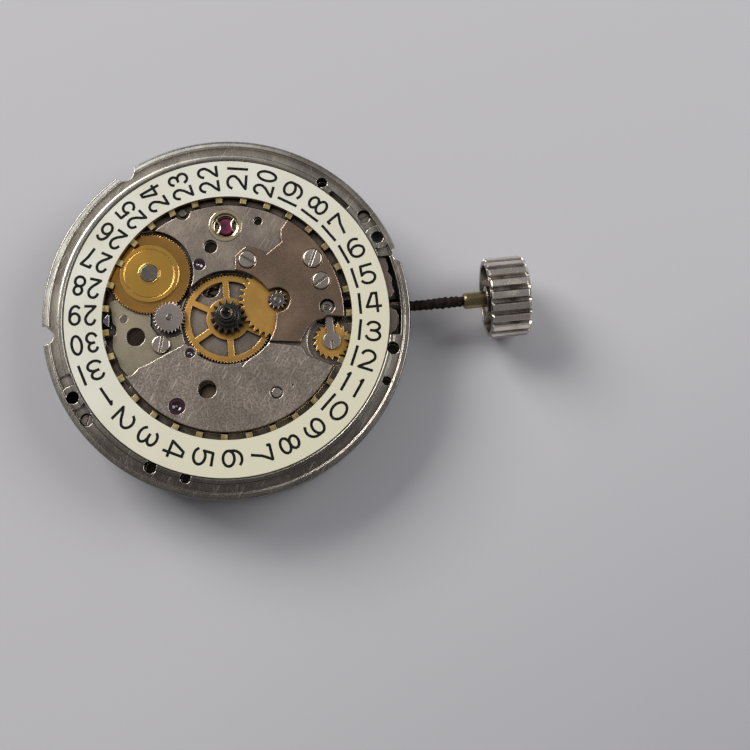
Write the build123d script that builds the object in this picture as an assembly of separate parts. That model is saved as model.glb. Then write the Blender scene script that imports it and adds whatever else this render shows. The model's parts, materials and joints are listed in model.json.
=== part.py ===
"""A mechanical watch movement with a date ring, as separate pieces.

Millimetres. The origin is on the hands' axis in the plane of the dial seat. +Z points out of
the dial side, +X towards the winding crown (3 o'clock) and +Y towards 12 o'clock.
"""

import math
import os

from build123d import *

# Clearances
TURN_GAP = 0.03
SEAT_GAP = 0.015
END_SHAKE = 0.02
AIR = 0.05
OVERRUN = 0.60
CHAMFER = 0.05

# Date ring, in plan, outwards from the round space of the works
WORKS_R = 8.34
WORKS_GAP = 0.08
RING_TOOTH_REACH = 0.42
RING_STEP_W = 0.31
RING_BAND_W = 2.66
ring_tip_r = WORKS_R + WORKS_GAP
ring_inner_r = ring_tip_r + RING_TOOTH_REACH
ring_flange_r = ring_inner_r + RING_STEP_W
ring_outer_r = ring_inner_r + RING_BAND_W

# Main plate, in plan, outwards from the ring
BED_GAP = 0.07
RING_GAP = 0.06
RIDGE_W = 0.39
LIP_GROOVE_W = 0.60
LIP_W = 0.25
FLANGE_REACH = 0.20
CASE_WALL_T = 1.45
bed_inner_r = ring_flange_r + BED_GAP
ridge_inner_r = ring_outer_r + RING_GAP
ridge_outer_r = ridge_inner_r + RIDGE_W
lip_inner_r = ridge_outer_r + LIP_GROOVE_W
case_r = lip_inner_r + LIP_W
flange_r = case_r + FLANGE_REACH
wall_inner_r = case_r - CASE_WALL_T

# Main plate, in height
DIAL_SEAT_Z = 0.0
BAND_DROP = 0.15
LIP_DROP = 0.05
FLANGE_T = 0.55
GROOVE_DROP = 0.80
PLATFORM_DROP = 0.45
WEB_T = 0.45

# Date ring, in height, and its teeth
RING_DROP = 0.10
RING_BAND_T = 0.26
RING_TOOTH_T = 0.20
RING_TOOTH_STEP = 0.14
RING_TOOTH_W = 0.45
RING_DAYS = 31
RING_TOOTH_TURN = -3.60
RING_JUMPER_GAP = 15.5

# Plates of the dial side
LOWER_PLATE_T = 0.33
GUARD_T = 0.28
JUMPER_PLATE_T = 0.27

# Motion work
DRIVE_MODULE = 0.071
DRIVE_TEETH = 90
DRIVE_PINION_TEETH = 15
DRIVE_T = 0.20
DRIVE_RECESS_R = 3.45
DRIVE_FLOOR_GAP = 0.15
DRIVE_RIM_W = 0.45
DRIVE_HUB_R = 1.55
DRIVE_SPOKE_W = 0.42
DRIVE_SPOKES = 6
DRIVE_SPOKE_TURN = 30
MINUTE_AT = (3.62, 0.88)
MINUTE_TEETH = 36
MINUTE_T = 0.18
MINUTE_DROP = 0.20
MINUTE_RECESS_R = 2.95
MINUTE_DRIVE_GAP = 0.12
CANNON_TEETH = 15
CANNON_TOP = 0.75
CANNON_LEAF_DROP = 0.15
CANNON_TAIL_R = 0.62
CANNON_NECK_R = 0.80
CANNON_SEAT_R = 0.60
CANNON_SEAT_RISE = 0.50
MINUTE_PINION_TEETH = 12
MINUTE_PINION_PITCH_R = 0.60
MINUTE_PINION_TOP_DROP = 0.25
SMALL_STUD_R = 0.20
STEADY_PIN_R = 0.16
CENTRE_TUBE_R = 0.42
CENTRE_TUBE_TOP = 0.95
CENTRE_TUBE_FLANGE_R = 0.90
CENTRE_TUBE_FLANGE_T = 0.18
SECONDS_R = 0.20
SECONDS_TOP = 1.50
SETTING_TEETH = 13
SETTING_ANGLE = -13.40
SETTING_DROP = 0.29
SETTING_WELL_R = 1.22
SETTING_FLOOR_GAP = 0.05
SETTING_BOSS_T = 0.30
SETTING_BOSS_R = 1.50
KEYHOLE_R = 0.90
SETTING_WINDOW_R = 0.56

# Date work
DATE_AT = (-5.30, 3.75)
DATE_MODULE = 0.066
DATE_TEETH = 88
DATE_T = 0.18
DATE_DOME_R = 2.10
DATE_DOME_T = 0.17
DATE_DOME_LINE_R = 1.75
DATE_LINE_DEPTH = 0.04
DATE_BOSS_R = 0.78
DATE_POST_R = 0.62
DATE_RECESS_R = 3.15
IDLER_PINION_TEETH = 19
IDLER_ANGLE = -71.05
IDLER_TEETH = 26
IDLER_TIP_R = 1.15
IDLER_T = 0.18
JUMPER_PLATE_GAP = 0.03
JUMPER_ARM_T = 0.22
JUMPER_ARM_W = 0.40
JUMPER_FOOT_AT = (-6.95, -2.75)
JUMPER_FOOT_R = 0.52
JUMPER_ELBOW_AT = (-8.15, -0.65)
JUMPER_NOSE_W = 0.84
JUMPER_NOSE_TIP_W = 0.24
JUMPER_NOSE_L = 0.40
CORRECTOR_ARM = 2.45
CORRECTOR_ANGLE = -87.70
CORRECTOR_TEETH = 18
CORRECTOR_TIP_R = 1.38
CORRECTOR_ROOT_R = 1.08
CORRECTOR_T = 0.20
CORRECTOR_LEAN_SHARE = 0.34
CORRECTOR_POCKET_R = 1.78
CORRECTOR_LEVER_T = 0.16
CORRECTOR_LEVER_W = 0.50
CORRECTOR_SHIELD_R = 0.62
CORRECTOR_RING_R = 0.44

# Going train
THIRD_ANGLE = 220.10
THIRD_TEETH = 80
THIRD_PINION_TEETH = 9
THIRD_HOLE_R = 0.70
SECOND_ANGLE = 252.03
SECOND_MODULE = 0.096
SECOND_TEETH = 72
SECOND_PINION_TEETH = 16
BARREL_ANGLE = 2.45
BARREL_MODULE = 0.1592
BARREL_TEETH = 72
FOURTH_TEETH = 75
FOURTH_PINION_TEETH = 8
ESCAPE_PINION_TEETH = 10
TRAIN_WHEEL_T = 0.15
TRAIN_LEVEL_GAP = 0.07
TRAIN_CEILING_GAP = 0.12
TRAIN_RIM_W = 0.34
TRAIN_HUB_R = 0.62
TRAIN_SPOKE_W = 0.30
TRAIN_SPOKES = 5
THIRD_SPOKE_TURN = 20
FOURTH_SPOKE_TURN = 10
ARBOR_R = 0.18
PIVOT_R = 0.09
LEAF_DEPTH = 0.24
TRAIN_JEWEL_R = 0.45

# Barrel and winding wheels
BARREL_H = 1.00
BARREL_DRUM_R = 5.35
BARREL_WALL_T = 0.22
BARREL_FLOOR_T = 0.12
BARREL_TOOTH_T = 0.20
BARREL_COVER_T = 0.10
BARREL_COVER_INSET = 0.15
BARREL_POCKET_GAP = 0.67
barrel_cover_r = BARREL_DRUM_R - BARREL_COVER_INSET
barrel_pocket_r = BARREL_DRUM_R + BARREL_POCKET_GAP
BARREL_GAP = 0.10
ARBOR_CORE_R = 1.00
ARBOR_UPPER_R = 0.33
ARBOR_NECK_R = 0.50
ARBOR_LOWER_R = 0.70
ARBOR_SQUARE_W = 0.90
MAINSPRING_T = 0.10
MAINSPRING_TURNS = 6
BRIDGE_GAP = 0.09
BRIDGE_T = 0.60
WIND_MODULE = 0.20
RATCHET_TEETH = 52
TRANSFER_TEETH = 28
RATCHET_T = 0.23
CROWN_WHEEL_PITCH_R = 2.00
CROWN_WHEEL_TEETH = 28
CROWN_WHEEL_FACE_W = 0.30
CROWN_WHEEL_BASE_T = 0.14
CROWN_WHEEL_TOOTH_H = 0.27
CROWN_WHEEL_RECESS_R = 2.35
CROWN_WHEEL_ARBOR_R = 0.70
WINDING_SCREW_T = 0.22
WINDING_SCREW_TURN = 35
WINDING_THREAD_R = 0.26
WINDING_THREAD_L = 0.80
CLICK_ANGLE = -14.0
CLICK_SPREAD = 26.0
CLICK_REACH = 1.05
CLICK_ARM_W = 0.30
CLICK_BEAK_W = 0.24
CLICK_FOOT_R = 0.80

# Escapement and balance
PALLET_AT = (-1.70, 4.05)
BALANCE_AT = (0.40, 6.75)
PALLET_REACH = 2.25
ESCAPE_TEETH = 20
HOOK_SHARE = 0.22
ESCAPE_SPAN_ANGLE = 31.5
ESCAPE_T = 0.14
ESCAPE_SPOKES = 4
FORK_T = 0.16
FORK_GAP = 0.12
FORK_W = 0.28
STONE_W = 0.22
STONE_L = 0.62
STONE_T = 0.20
STONE_SEAT_R = 0.34
PALLET_COCK_T = 0.20
PALLET_COCK_W = 1.00
PALLET_COCK_GAP = 0.06
BALANCE_R = 4.60
BALANCE_RIM_W = 0.42
BALANCE_RIM_H = 0.40
BALANCE_GAP = 0.10
BALANCE_ARM_W = 0.45
BALANCE_ARM_T = 0.16
BALANCE_HUB_R = 0.60
STAFF_R = 0.30
STAFF_PIVOT_R = 0.07
ROLLER_R = 0.95
ROLLER_T = 0.12
IMPULSE_R = 0.72
IMPULSE_PIN_R = 0.08
HAIRSPRING_TURNS = 9
HAIRSPRING_INNER_R = 0.52
HAIRSPRING_PITCH = 0.20
HAIRSPRING_T = 0.05
HAIRSPRING_H = 0.15
HAIRSPRING_GAP = 0.40
COCK_GAP = 0.70
COCK_T = 0.55
SHOCK_R = 1.18
SHOCK_WALL_T = 0.24
SHOCK_H = 0.80
SHOCK_JEWEL_R = 0.56
SHOCK_JEWEL_T = 0.20
SHOCK_SPRING_T = 0.06
SHOCK_SPRING_W = 0.13
LYRE_SPREAD = 28.0
COCK_SETTING_RISE = 0.42
REGULATOR_T = 0.16
REGULATOR_W = 0.42
REGULATOR_ARM_W = 0.34
REGULATOR_L = 3.60
REGULATOR_TURN = 200.0
CURB_ANGLE = 77.0
CURB_PIN_R = 0.05
CURB_PIN_REACH = 0.11
STUD_RING_T = 0.14
STUD_RING_W = 0.40
STUD_ARM_W = 0.46
STUD_R = 0.16
STUD_ANGLE = 115.0

# Stem and keyless work
STEM_Z = -2.50
STEM_THREAD_R = 0.33
STEM_BEARING_R = 0.62
STEM_GROOVE_R = 0.38
STEM_SEAT_R = 0.44
STEM_SQUARE_W = 0.62
STEM_PIVOT_R = 0.28
STEM_TRAVEL = 0.90
STEM_TIP_X = 6.95
STEM_SQUARE_X = 8.10
STEM_SEAT_X = 10.02
STEM_SHOULDER_X = 11.00
STEM_GROOVE_X = 11.02
STEM_GROOVE_W = 0.38
STEM_WALL_STEP = 0.08
STEM_BARE_L = 4.22
TUBE_R = 0.60
TUBE_DEPTH = 0.90
TUBE_FREE_L = 1.70
CROWN_L = 3.00
CROWN_R = 2.93
CROWN_HOLLOW_R = 2.05
CROWN_HOLLOW_DEPTH = 1.10
CROWN_BOSS_R = 0.95
CROWN_FLUTES = 20
CROWN_FLUTE_R = 0.20
CROWN_EDGE = 0.35
stem_wall_x = case_r + STEM_WALL_STEP
tube_x = stem_wall_x + STEM_BARE_L
crown_x = tube_x + TUBE_FREE_L
WINDING_PINION_TEETH = 14
WINDING_PINION_X = 10.05
WINDING_PINION_L = 0.93
CLUTCH_TRAVEL = 0.55
CLUTCH_X = 8.75
CLUTCH_R = 1.00
CLUTCH_NECK_R = 0.70
CLUTCH_NECK_X = 9.22
CLUTCH_NECK_W = 0.40
CLUTCH_TOOTH_H = 0.16
CLUTCH_TEETH = 12
CLUTCH_WINDOW = (7.98, 11.12)
CLUTCH_WINDOW_W = 2.50
SETTING_LEVER_AT = (10.90, 2.90)
YOKE_AT = (9.15, 3.40)
LEVER_T = 0.20
LEVER_W = 0.60
LEVER_FLOOR_Z = -1.12
LEVER_PIN_R = 0.14
KEYLESS_SLOT_STEP = 0.10
KEYLESS_SLOT_WALL_T = 0.45
KEYLESS_SLOT_TOP_Y = 3.40
KEYLESS_SLOT_LOW_Y = -2.50
KEYLESS_SLOT_FLOOR_Z = -3.10
keyless_slot_inner_r = wall_inner_r + KEYLESS_SLOT_STEP
keyless_slot_outer_r = case_r - KEYLESS_SLOT_WALL_T

# Fasteners
SCREW_SLOT_W = 0.17
SCREW_SLOT_DEPTH = 0.12
SCREW_HEAD_T = 0.26
SCREW_SHANK_R = 0.30
BRIDGE_SCREW_R = 0.55
BRIDGE_SCREW_T = 0.22
BRIDGE_SCREW_GRIP = 1.60
COCK_SCREW_TURN = 70
CLICK_SCREW_TURN = 20

CENTRE = (0.0, 0.0)


def polar(radius, degrees, at=CENTRE):
    """Point at a distance and a direction from another point."""
    angle = math.radians(degrees)
    return (at[0] + radius * math.cos(angle), at[1] + radius * math.sin(angle))


def bearing_of(start, end):
    """Direction from one point to another, in degrees."""
    return math.degrees(math.atan2(end[1] - start[1], end[0] - start[0]))


def spread(shares, size):
    """Points given as shares of a size."""
    return [(x * size, y * size) for x, y in shares]


def bar(radius, low, high, at=CENTRE):
    """Upright round bar between two heights."""
    return Pos(at[0], at[1], low) * extrude(Circle(radius), high - low, dir=(0, 0, 1))


def tube(outer, inner, low, high, at=CENTRE):
    """Upright round tube between two heights."""
    ring = Circle(outer) - Circle(inner)
    return Pos(at[0], at[1], low) * extrude(ring, high - low, dir=(0, 0, 1))


def outline(points):
    """Flat face inside a closed line of points."""
    return make_face(Polyline(*points, close=True))


def lift(face, low, high):
    """Flat face raised to a solid between two heights."""
    return Pos(0, 0, low) * extrude(face, high - low, dir=(0, 0, 1))


def strip(start, end, width):
    """Flat strip with round ends about two points."""
    length = math.dist(start, end)
    middle = ((start[0] + end[0]) / 2, (start[1] + end[1]) / 2)
    return Pos(*middle) * Rot(0, 0, bearing_of(start, end)) * SlotCenterToCenter(length, width)


def disc(radius, at=CENTRE):
    """Flat round face."""
    return Pos(at[0], at[1]) * Circle(radius)


def square(width, low, high, at=CENTRE):
    """Upright square bar between two heights."""
    return Pos(at[0], at[1], low) * extrude(Rectangle(width, width), high - low, dir=(0, 0, 1))


def along_x(radius, start, end, z=STEM_Z):
    """Round bar along the stem."""
    place = Plane(origin=(start, 0, z), x_dir=(0, 1, 0), z_dir=(1, 0, 0))
    return place * extrude(Circle(radius), end - start, dir=(0, 0, 1))


def box_between(x_range, y_range, z_range):
    """Box given by its three ranges."""
    size = [span[1] - span[0] for span in (x_range, y_range, z_range)]
    corner = (x_range[0], y_range[0], z_range[0])
    return Pos(*corner) * Box(*size, align=(Align.MIN, Align.MIN, Align.MIN))


def tooth_points(count, tip, root, turn, crest_share, gap_share, lean_share=0.0):
    """Points of a toothed circle, with a tooth at the direction turn."""
    step = 360 / count
    flank_share = (1 - gap_share) / 2
    crests = [lean_share - crest_share / 2, lean_share + crest_share / 2]
    if crest_share == 0:
        crests = [lean_share]
    shares = [(root, -flank_share)] + [(tip, share) for share in crests]
    if gap_share > 0:
        shares.append((root, flank_share))
    points = []
    for index in range(count):
        middle = turn + index * step
        points += [polar(radius, middle + share * step) for radius, share in shares]
    return points


def meshing_turn(turn, teeth, other_teeth, direction):
    """Direction of a tooth of the second wheel that lets it mesh with the first."""
    carried = (turn - direction) * teeth / other_teeth
    return direction + 180 - carried - 180 / other_teeth


FINE_CREST_SHARE = 0.0
FINE_GAP_SHARE = 0.12
CREST_SHARE = 0.14
GAP_SHARE = 0.30
TIP_RATIO = 0.92
ROOT_RATIO = 1.20


def gear_face(teeth, module, turn, at=CENTRE, fine=False):
    """Toothed face of a wheel or pinion."""
    pitch_r = teeth * module / 2
    crest = FINE_CREST_SHARE if fine else CREST_SHARE
    gap = FINE_GAP_SHARE if fine else GAP_SHARE
    tip = pitch_r + TIP_RATIO * module
    root = pitch_r - ROOT_RATIO * module
    return Pos(at[0], at[1]) * outline(tooth_points(teeth, tip, root, turn, crest, gap))


def spoked(face, rim_inner, hub, spokes, spoke_w, at, turn=0):
    """Cuts windows in a toothed face and leaves a hub and spokes."""
    web = face - disc(rim_inner, at)
    web += disc(hub, at)
    reach = rim_inner + spoke_w / 2
    for index in range(spokes):
        end = polar(reach, turn + index * 360 / spokes, at)
        middle = ((at[0] + end[0]) / 2, (at[1] + end[1]) / 2)
        arm = Pos(*middle) * Rot(0, 0, bearing_of(at, end)) * Rectangle(reach, spoke_w)
        web += arm & disc(reach, at)
    return web


def screw(at, head_r, head_low, head_t, shank_r, shank_end, slot_turn, flip=False):
    """Slotted screw: its head lies above head_low, or below it where flip is set."""
    sense = -1 if flip else 1
    head_top = head_low + sense * head_t
    head = bar(head_r, min(head_low, head_top), max(head_low, head_top), at)
    head = chamfer(head.edges().filter_by(GeomType.CIRCLE).group_by(Axis.Z)[0 if flip else -1], CHAMFER)
    low, high = sorted((head_low, shank_end))
    body = head + bar(shank_r, low, high, at)
    slot = Box(2 * head_r + 2 * AIR, SCREW_SLOT_W, 2 * SCREW_SLOT_DEPTH)
    return body - Pos(at[0], at[1], head_top) * Rot(0, 0, slot_turn) * slot


def eased(solid, amount=CHAMFER, top=True):
    """Chamfers the edges of the top or bottom face of a flat piece."""
    face = solid.faces().sort_by(Axis.Z)[-1 if top else 0]
    return chamfer(face.edges(), amount)


# Places that follow from the wheels
drive_pitch_r = DRIVE_MODULE * DRIVE_TEETH / 2
third_reach = DRIVE_MODULE * (DRIVE_TEETH + DRIVE_PINION_TEETH) / 2
third_at = polar(third_reach, THIRD_ANGLE)
second_reach = SECOND_MODULE * (SECOND_TEETH + THIRD_PINION_TEETH) / 2
second_at = polar(second_reach, SECOND_ANGLE, third_at)
barrel_reach = BARREL_MODULE * (BARREL_TEETH + SECOND_PINION_TEETH) / 2
barrel_at = polar(barrel_reach, BARREL_ANGLE, second_at)
third_module = 2 * third_reach / (THIRD_TEETH + FOURTH_PINION_TEETH)
escape_r = PALLET_REACH * math.cos(math.radians(ESCAPE_SPAN_ANGLE))
fork_angle = bearing_of(PALLET_AT, BALANCE_AT)
escape_at = polar(-PALLET_REACH, fork_angle, PALLET_AT)
fourth_module = 2 * math.dist(CENTRE, escape_at) / (FOURTH_TEETH + ESCAPE_PINION_TEETH)
minute_module = 2 * math.dist(CENTRE, MINUTE_AT) / (CANNON_TEETH + MINUTE_TEETH)
minute_pinion_module = 2 * MINUTE_PINION_PITCH_R / MINUTE_PINION_TEETH
setting_at = polar(minute_module * (MINUTE_TEETH + SETTING_TEETH) / 2, SETTING_ANGLE, MINUTE_AT)
idler_at = polar(DATE_MODULE * (DATE_TEETH + IDLER_PINION_TEETH) / 2, IDLER_ANGLE, DATE_AT)
jumper_angle = RING_TOOTH_TURN + RING_JUMPER_GAP * 360 / RING_DAYS
corrector_at = polar(CORRECTOR_ARM, CORRECTOR_ANGLE, setting_at)
winding_reach = WIND_MODULE * (RATCHET_TEETH + TRANSFER_TEETH) / 2
crown_wheel_at = (barrel_at[0] + math.sqrt(winding_reach**2 - barrel_at[1] ** 2), 0.0)
crown_wheel_module = 2 * CROWN_WHEEL_PITCH_R / CROWN_WHEEL_TEETH
winding_pinion_r = crown_wheel_module * WINDING_PINION_TEETH / 2

# Heights that follow from the stack, dial side
ring_top = DIAL_SEAT_Z - RING_DROP
ring_under = ring_top - RING_BAND_T
tooth_under = ring_under - RING_TOOTH_STEP
bed_z = ring_under - END_SHAKE
platform_z = DIAL_SEAT_Z - PLATFORM_DROP
groove_z = DIAL_SEAT_Z - GROOVE_DROP
lower_plate_top = platform_z + LOWER_PLATE_T
guard_top = platform_z + GUARD_T
dome_top = tooth_under - AIR
date_top = dome_top - DATE_DOME_T
date_low = date_top - DATE_T
jumper_plate_top = date_low - JUMPER_PLATE_GAP
jumper_floor = jumper_plate_top - JUMPER_PLATE_T
jumper_arm_low = jumper_floor - JUMPER_ARM_T
idler_low = date_top + AIR
idler_top = idler_low + IDLER_T
minute_top = platform_z - MINUTE_DROP
minute_low = minute_top - MINUTE_T
drive_top = minute_low - MINUTE_DRIVE_GAP
drive_low = drive_top - DRIVE_T
drive_floor = drive_low - DRIVE_FLOOR_GAP
plate_back = drive_floor - WEB_T
setting_top = platform_z - SETTING_DROP
lever_low = LEVER_FLOOR_Z + END_SHAKE
lever_top = lever_low + LEVER_T
corrector_lever_top = platform_z - AIR
corrector_lever_low = corrector_lever_top - CORRECTOR_LEVER_T
corrector_top = corrector_lever_low - END_SHAKE
corrector_low = corrector_top - CORRECTOR_T
corrector_floor = corrector_low - AIR

# Heights that follow from the stack, bridge side
second_top = plate_back - TRAIN_CEILING_GAP
second_low = second_top - TRAIN_WHEEL_T
third_top = second_low - TRAIN_LEVEL_GAP
third_low = third_top - TRAIN_WHEEL_T
fourth_top = third_low - TRAIN_LEVEL_GAP
fourth_low = fourth_top - TRAIN_WHEEL_T
barrel_top = fourth_low - BARREL_GAP
barrel_low = barrel_top - BARREL_H
bridge_top = barrel_low - BRIDGE_GAP
bridge_low = bridge_top - BRIDGE_T
fork_top = fourth_low - FORK_GAP
fork_low = fork_top - FORK_T
escape_top = fork_top - (FORK_T - ESCAPE_T) / 2
escape_low = escape_top - ESCAPE_T
pallet_cock_top = fork_low - PALLET_COCK_GAP
pallet_cock_low = pallet_cock_top - PALLET_COCK_T
balance_top = pallet_cock_low - BALANCE_GAP
balance_low = balance_top - BALANCE_RIM_H
hairspring_top = balance_low - HAIRSPRING_GAP
hairspring_low = hairspring_top - HAIRSPRING_H
cock_top = balance_low - COCK_GAP
cock_low = cock_top - COCK_T
ratchet_top = bridge_low - END_SHAKE
ratchet_low = ratchet_top - RATCHET_T
crown_wheel_top = STEM_Z - winding_pinion_r - TIP_RATIO * crown_wheel_module - END_SHAKE
crown_wheel_low = crown_wheel_top - CROWN_WHEEL_BASE_T
crown_recess_z = crown_wheel_low - END_SHAKE
roller_low = fork_top + AIR
roller_top = roller_low + ROLLER_T
shock_low = platform_z - SHOCK_H
cock_shock_low = cock_low

# Directions of the teeth, so that wheels that mesh do so at rest
drive_turn = 0.0
drive_pinion_turn = meshing_turn(drive_turn, DRIVE_TEETH, DRIVE_PINION_TEETH, THIRD_ANGLE)
third_turn = 0.0
fourth_pinion_turn = meshing_turn(third_turn, THIRD_TEETH, FOURTH_PINION_TEETH, THIRD_ANGLE + 180)
second_turn = 0.0
third_pinion_turn = meshing_turn(second_turn, SECOND_TEETH, THIRD_PINION_TEETH, SECOND_ANGLE + 180)
barrel_turn = 0.0
second_pinion_turn = meshing_turn(barrel_turn, BARREL_TEETH, SECOND_PINION_TEETH, BARREL_ANGLE + 180)
fourth_turn = 0.0
escape_angle = bearing_of(CENTRE, escape_at)
escape_pinion_turn = meshing_turn(fourth_turn, FOURTH_TEETH, ESCAPE_PINION_TEETH, escape_angle)
hook_turn = HOOK_SHARE * 3 / 2 * 360 / ESCAPE_TEETH
escape_turn = fork_angle - ESCAPE_SPAN_ANGLE - 360 / ESCAPE_TEETH / 4 - hook_turn
minute_angle = bearing_of(CENTRE, MINUTE_AT)
cannon_turn = 90.0
minute_turn = meshing_turn(cannon_turn, CANNON_TEETH, MINUTE_TEETH, minute_angle)
setting_turn = meshing_turn(minute_turn, MINUTE_TEETH, SETTING_TEETH, SETTING_ANGLE)
date_turn = 0.0
idler_pinion_turn = meshing_turn(date_turn, DATE_TEETH, IDLER_PINION_TEETH, IDLER_ANGLE)
transfer_turn = 0.0
winding_angle = bearing_of(crown_wheel_at, barrel_at)
ratchet_turn = meshing_turn(transfer_turn, TRANSFER_TEETH, RATCHET_TEETH, winding_angle)

ratchet_pitch_r = WIND_MODULE * RATCHET_TEETH / 2
ratchet_step = 360 / RATCHET_TEETH
click_steps = math.floor((CLICK_ANGLE - ratchet_turn) / ratchet_step)
click_angle = ratchet_turn + (click_steps + 1 / 2) * ratchet_step

# Outlines, as shares of the radius of the works
LOWER_PLATE_SHARES = [
    (-0.912, -0.438), (-0.839, -0.426), (-0.779, -0.372), (-0.707, -0.348), (-0.396, -0.210),
    (-0.372, -0.204), (-0.288, -0.276), (-0.20, -0.10), (0.05, -0.10), (0.078, -0.420),
    (0.090, -0.438), (0.120, -0.408), (0.336, -0.264), (0.600, -0.318), (0.640, -0.400),
    (0.880, -0.530), (0.90, -1.20), (-0.90, -1.20), (-1.20, -0.60),
]
GUARD_SHARES = [
    (0.096, 0.420), (0.108, 0.528), (0.156, 0.564), (0.204, 0.600), (0.264, 0.588), (0.360, 0.540),
    (0.378, 0.516), (0.516, 0.612), (0.510, 0.648), (0.516, 0.720), (0.588, 0.810), (0.70, 0.90),
    (1.20, 0.40), (1.20, -0.096), (0.975, -0.096), (0.845, -0.070), (0.800, -0.100), (0.743, -0.108),
    (0.680, -0.160), (0.612, -0.252), (0.600, -0.282), (0.330, -0.247), (0.20, -0.10), (0.05, 0.20),
]
JUMPER_PLATE_SHARES = [
    (-0.993, 0.155), (-1.007, 0.228), (-0.983, 0.252), (-0.930, 0.258), (-0.90, 0.272),
    (-0.845, 0.262), (-0.66, 0.20), (-0.655, 0.144), (-0.660, 0.0), (-0.60, -0.10), (-0.396, -0.09),
    (-0.384, -0.180), (-0.45, -0.26), (-0.72, -0.40), (-0.86, -0.46), (-0.95, -0.33), (-1.0, -0.16),
    (-0.995, -0.055), (-0.965, -0.045), (-0.960, 0.020), (-0.985, 0.045),
]
JUMPER_RECESS_SHARES = [
    (-1.08, 0.36), (-0.60, 0.25), (-0.34, 0.20), (-0.33, -0.24), (-0.45, -0.30), (-0.72, -0.44),
    (-0.88, -0.52), (-1.06, -0.30),
]
LEVER_RECESS_SHARES = [
    (0.93, -0.14), (1.24, -0.14), (1.42, 0.08), (1.42, 0.42), (1.30, 0.47), (1.02, 0.50), (0.98, 0.36),
]

# Holes and screws of the dial side
GUARD_SCREWS = [((1.75, 4.00), 0.62, -35), ((6.40, 3.65), 0.68, 65), ((6.85, 1.95), 0.62, 33)]
JUMPER_SCREW = ((-4.90, -1.45), 0.66, 75)
JUMPER_HOLE = ((-6.65, -0.70), 0.68)
JUMPER_STUD = ((-7.40, 0.70), 0.28)
LOWER_PLATE_HOLE = ((-1.85, -5.10), 0.66)
SECOND_JEWEL_R = 0.58
THIRD_JEWEL_R = 0.34
PALLET_JEWEL_R = 0.42
PALLET_JEWEL_T = 0.35
PLATFORM_HOLES = [((-0.80, 5.30), 0.50), ((2.75, 6.87), 0.32)]
PLATFORM_HOLE_DEPTH = 0.45
NOTCH_AT = (-2.60, 8.00)
NOTCH_R = 0.55
NOTCH_POST_R = 0.26
SIGHT_HOLE = ((-1.15, 2.45), 0.72)
SMALL_DOT = ((4.10, -5.40), 0.09)
RIM_HOLES = [
    ((7.62, 9.20), 0.40), ((11.45, -3.45), 0.46), ((10.75, -5.75), 0.33), ((-6.20, -10.15), 0.45),
    ((-3.85, -11.15), 0.38),
]
RIM_HOLE_DEPTH = 1.10
DIAL_FOOT_INSET = 0.65
DIAL_FOOT_R = 0.45
DIAL_FOOT_ANGLE = 23.1
dial_foot_circle_r = case_r - DIAL_FOOT_INSET
DIAL_FEET = [polar(dial_foot_circle_r, DIAL_FOOT_ANGLE + turn) for turn in (0, 180)]
FOOT_SCREWS = [((10.38, 6.42), 0.46, 20), ((-10.35, -6.40), 0.46, 70)]
FOOT_SCREW_DEPTH = 0.55
FOOT_SCREW_T = 0.60
FOOT_POCKET_W = 1.70
FOOT_POCKET_DEPTH = 0.16
RIM_NOTCHES = [((-6.55, 11.45), 0.80), ((-12.95, -0.15), 0.72), ((12.75, 3.42), 0.62)]
SLIT_ANGLES = (37.5, 46.0)

# Screws and jewels of the bridge side
BRIDGE_SCREW_INSET = 0.94
bridge_screw_circle_r = case_r - BRIDGE_SCREW_INSET
BARREL_BRIDGE_SCREWS = [polar(bridge_screw_circle_r, turn) for turn in (-20, -88, 19.5)]
TRAIN_BRIDGE_SCREWS = [polar(bridge_screw_circle_r, turn) for turn in (196, 238, 153)]
PILLAR_AT = (-7.90, 0.40)
PILLAR_R = 0.85
COCK_FOOT_AT = (8.10, 6.95)
COCK_FOOT_R = 1.45
COCK_ARM_W = 3.30
COCK_SCREW_R = 0.80
PALLET_FEET = [(-4.30, 6.00), (1.90, 4.15)]
PALLET_PILLAR_R = 0.48
BRIDGE_EDGE_R = 12.60
BRIDGE_SPLIT_R = 5.40
BRIDGE_SPLIT_GAP = 0.22
BRIDGE_SPLIT_LOW_X = -0.55
BRIDGE_SPLIT_X = 3.30
BRIDGE_SPLIT_Y = 4.85
TRAIN_SPLIT_X = 1.55
TRAIN_SPLIT_Y = 1.40
TRAIN_SPLIT_TOP_Y = 6.60
TRAIN_SPLIT_STEP = 2.40
BALANCE_WELL_R = 4.86


def date_ring():
    """Ring of days: a flat band with 31 square teeth inside it, a step lower."""
    band = lift(disc(ring_outer_r) - disc(ring_inner_r), ring_under, ring_top)
    flange = disc(ring_flange_r) - disc(ring_inner_r)
    for day in range(RING_DAYS):
        angle = RING_TOOTH_TURN + day * 360 / RING_DAYS
        reach = ring_flange_r - ring_tip_r
        middle = polar(ring_tip_r + reach / 2, angle)
        flange += (Pos(*middle) * Rot(0, 0, angle) * Rectangle(reach, RING_TOOTH_W)) & disc(ring_flange_r)
    return band + lift(flange, tooth_under, tooth_under + RING_TOOTH_T)


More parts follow.
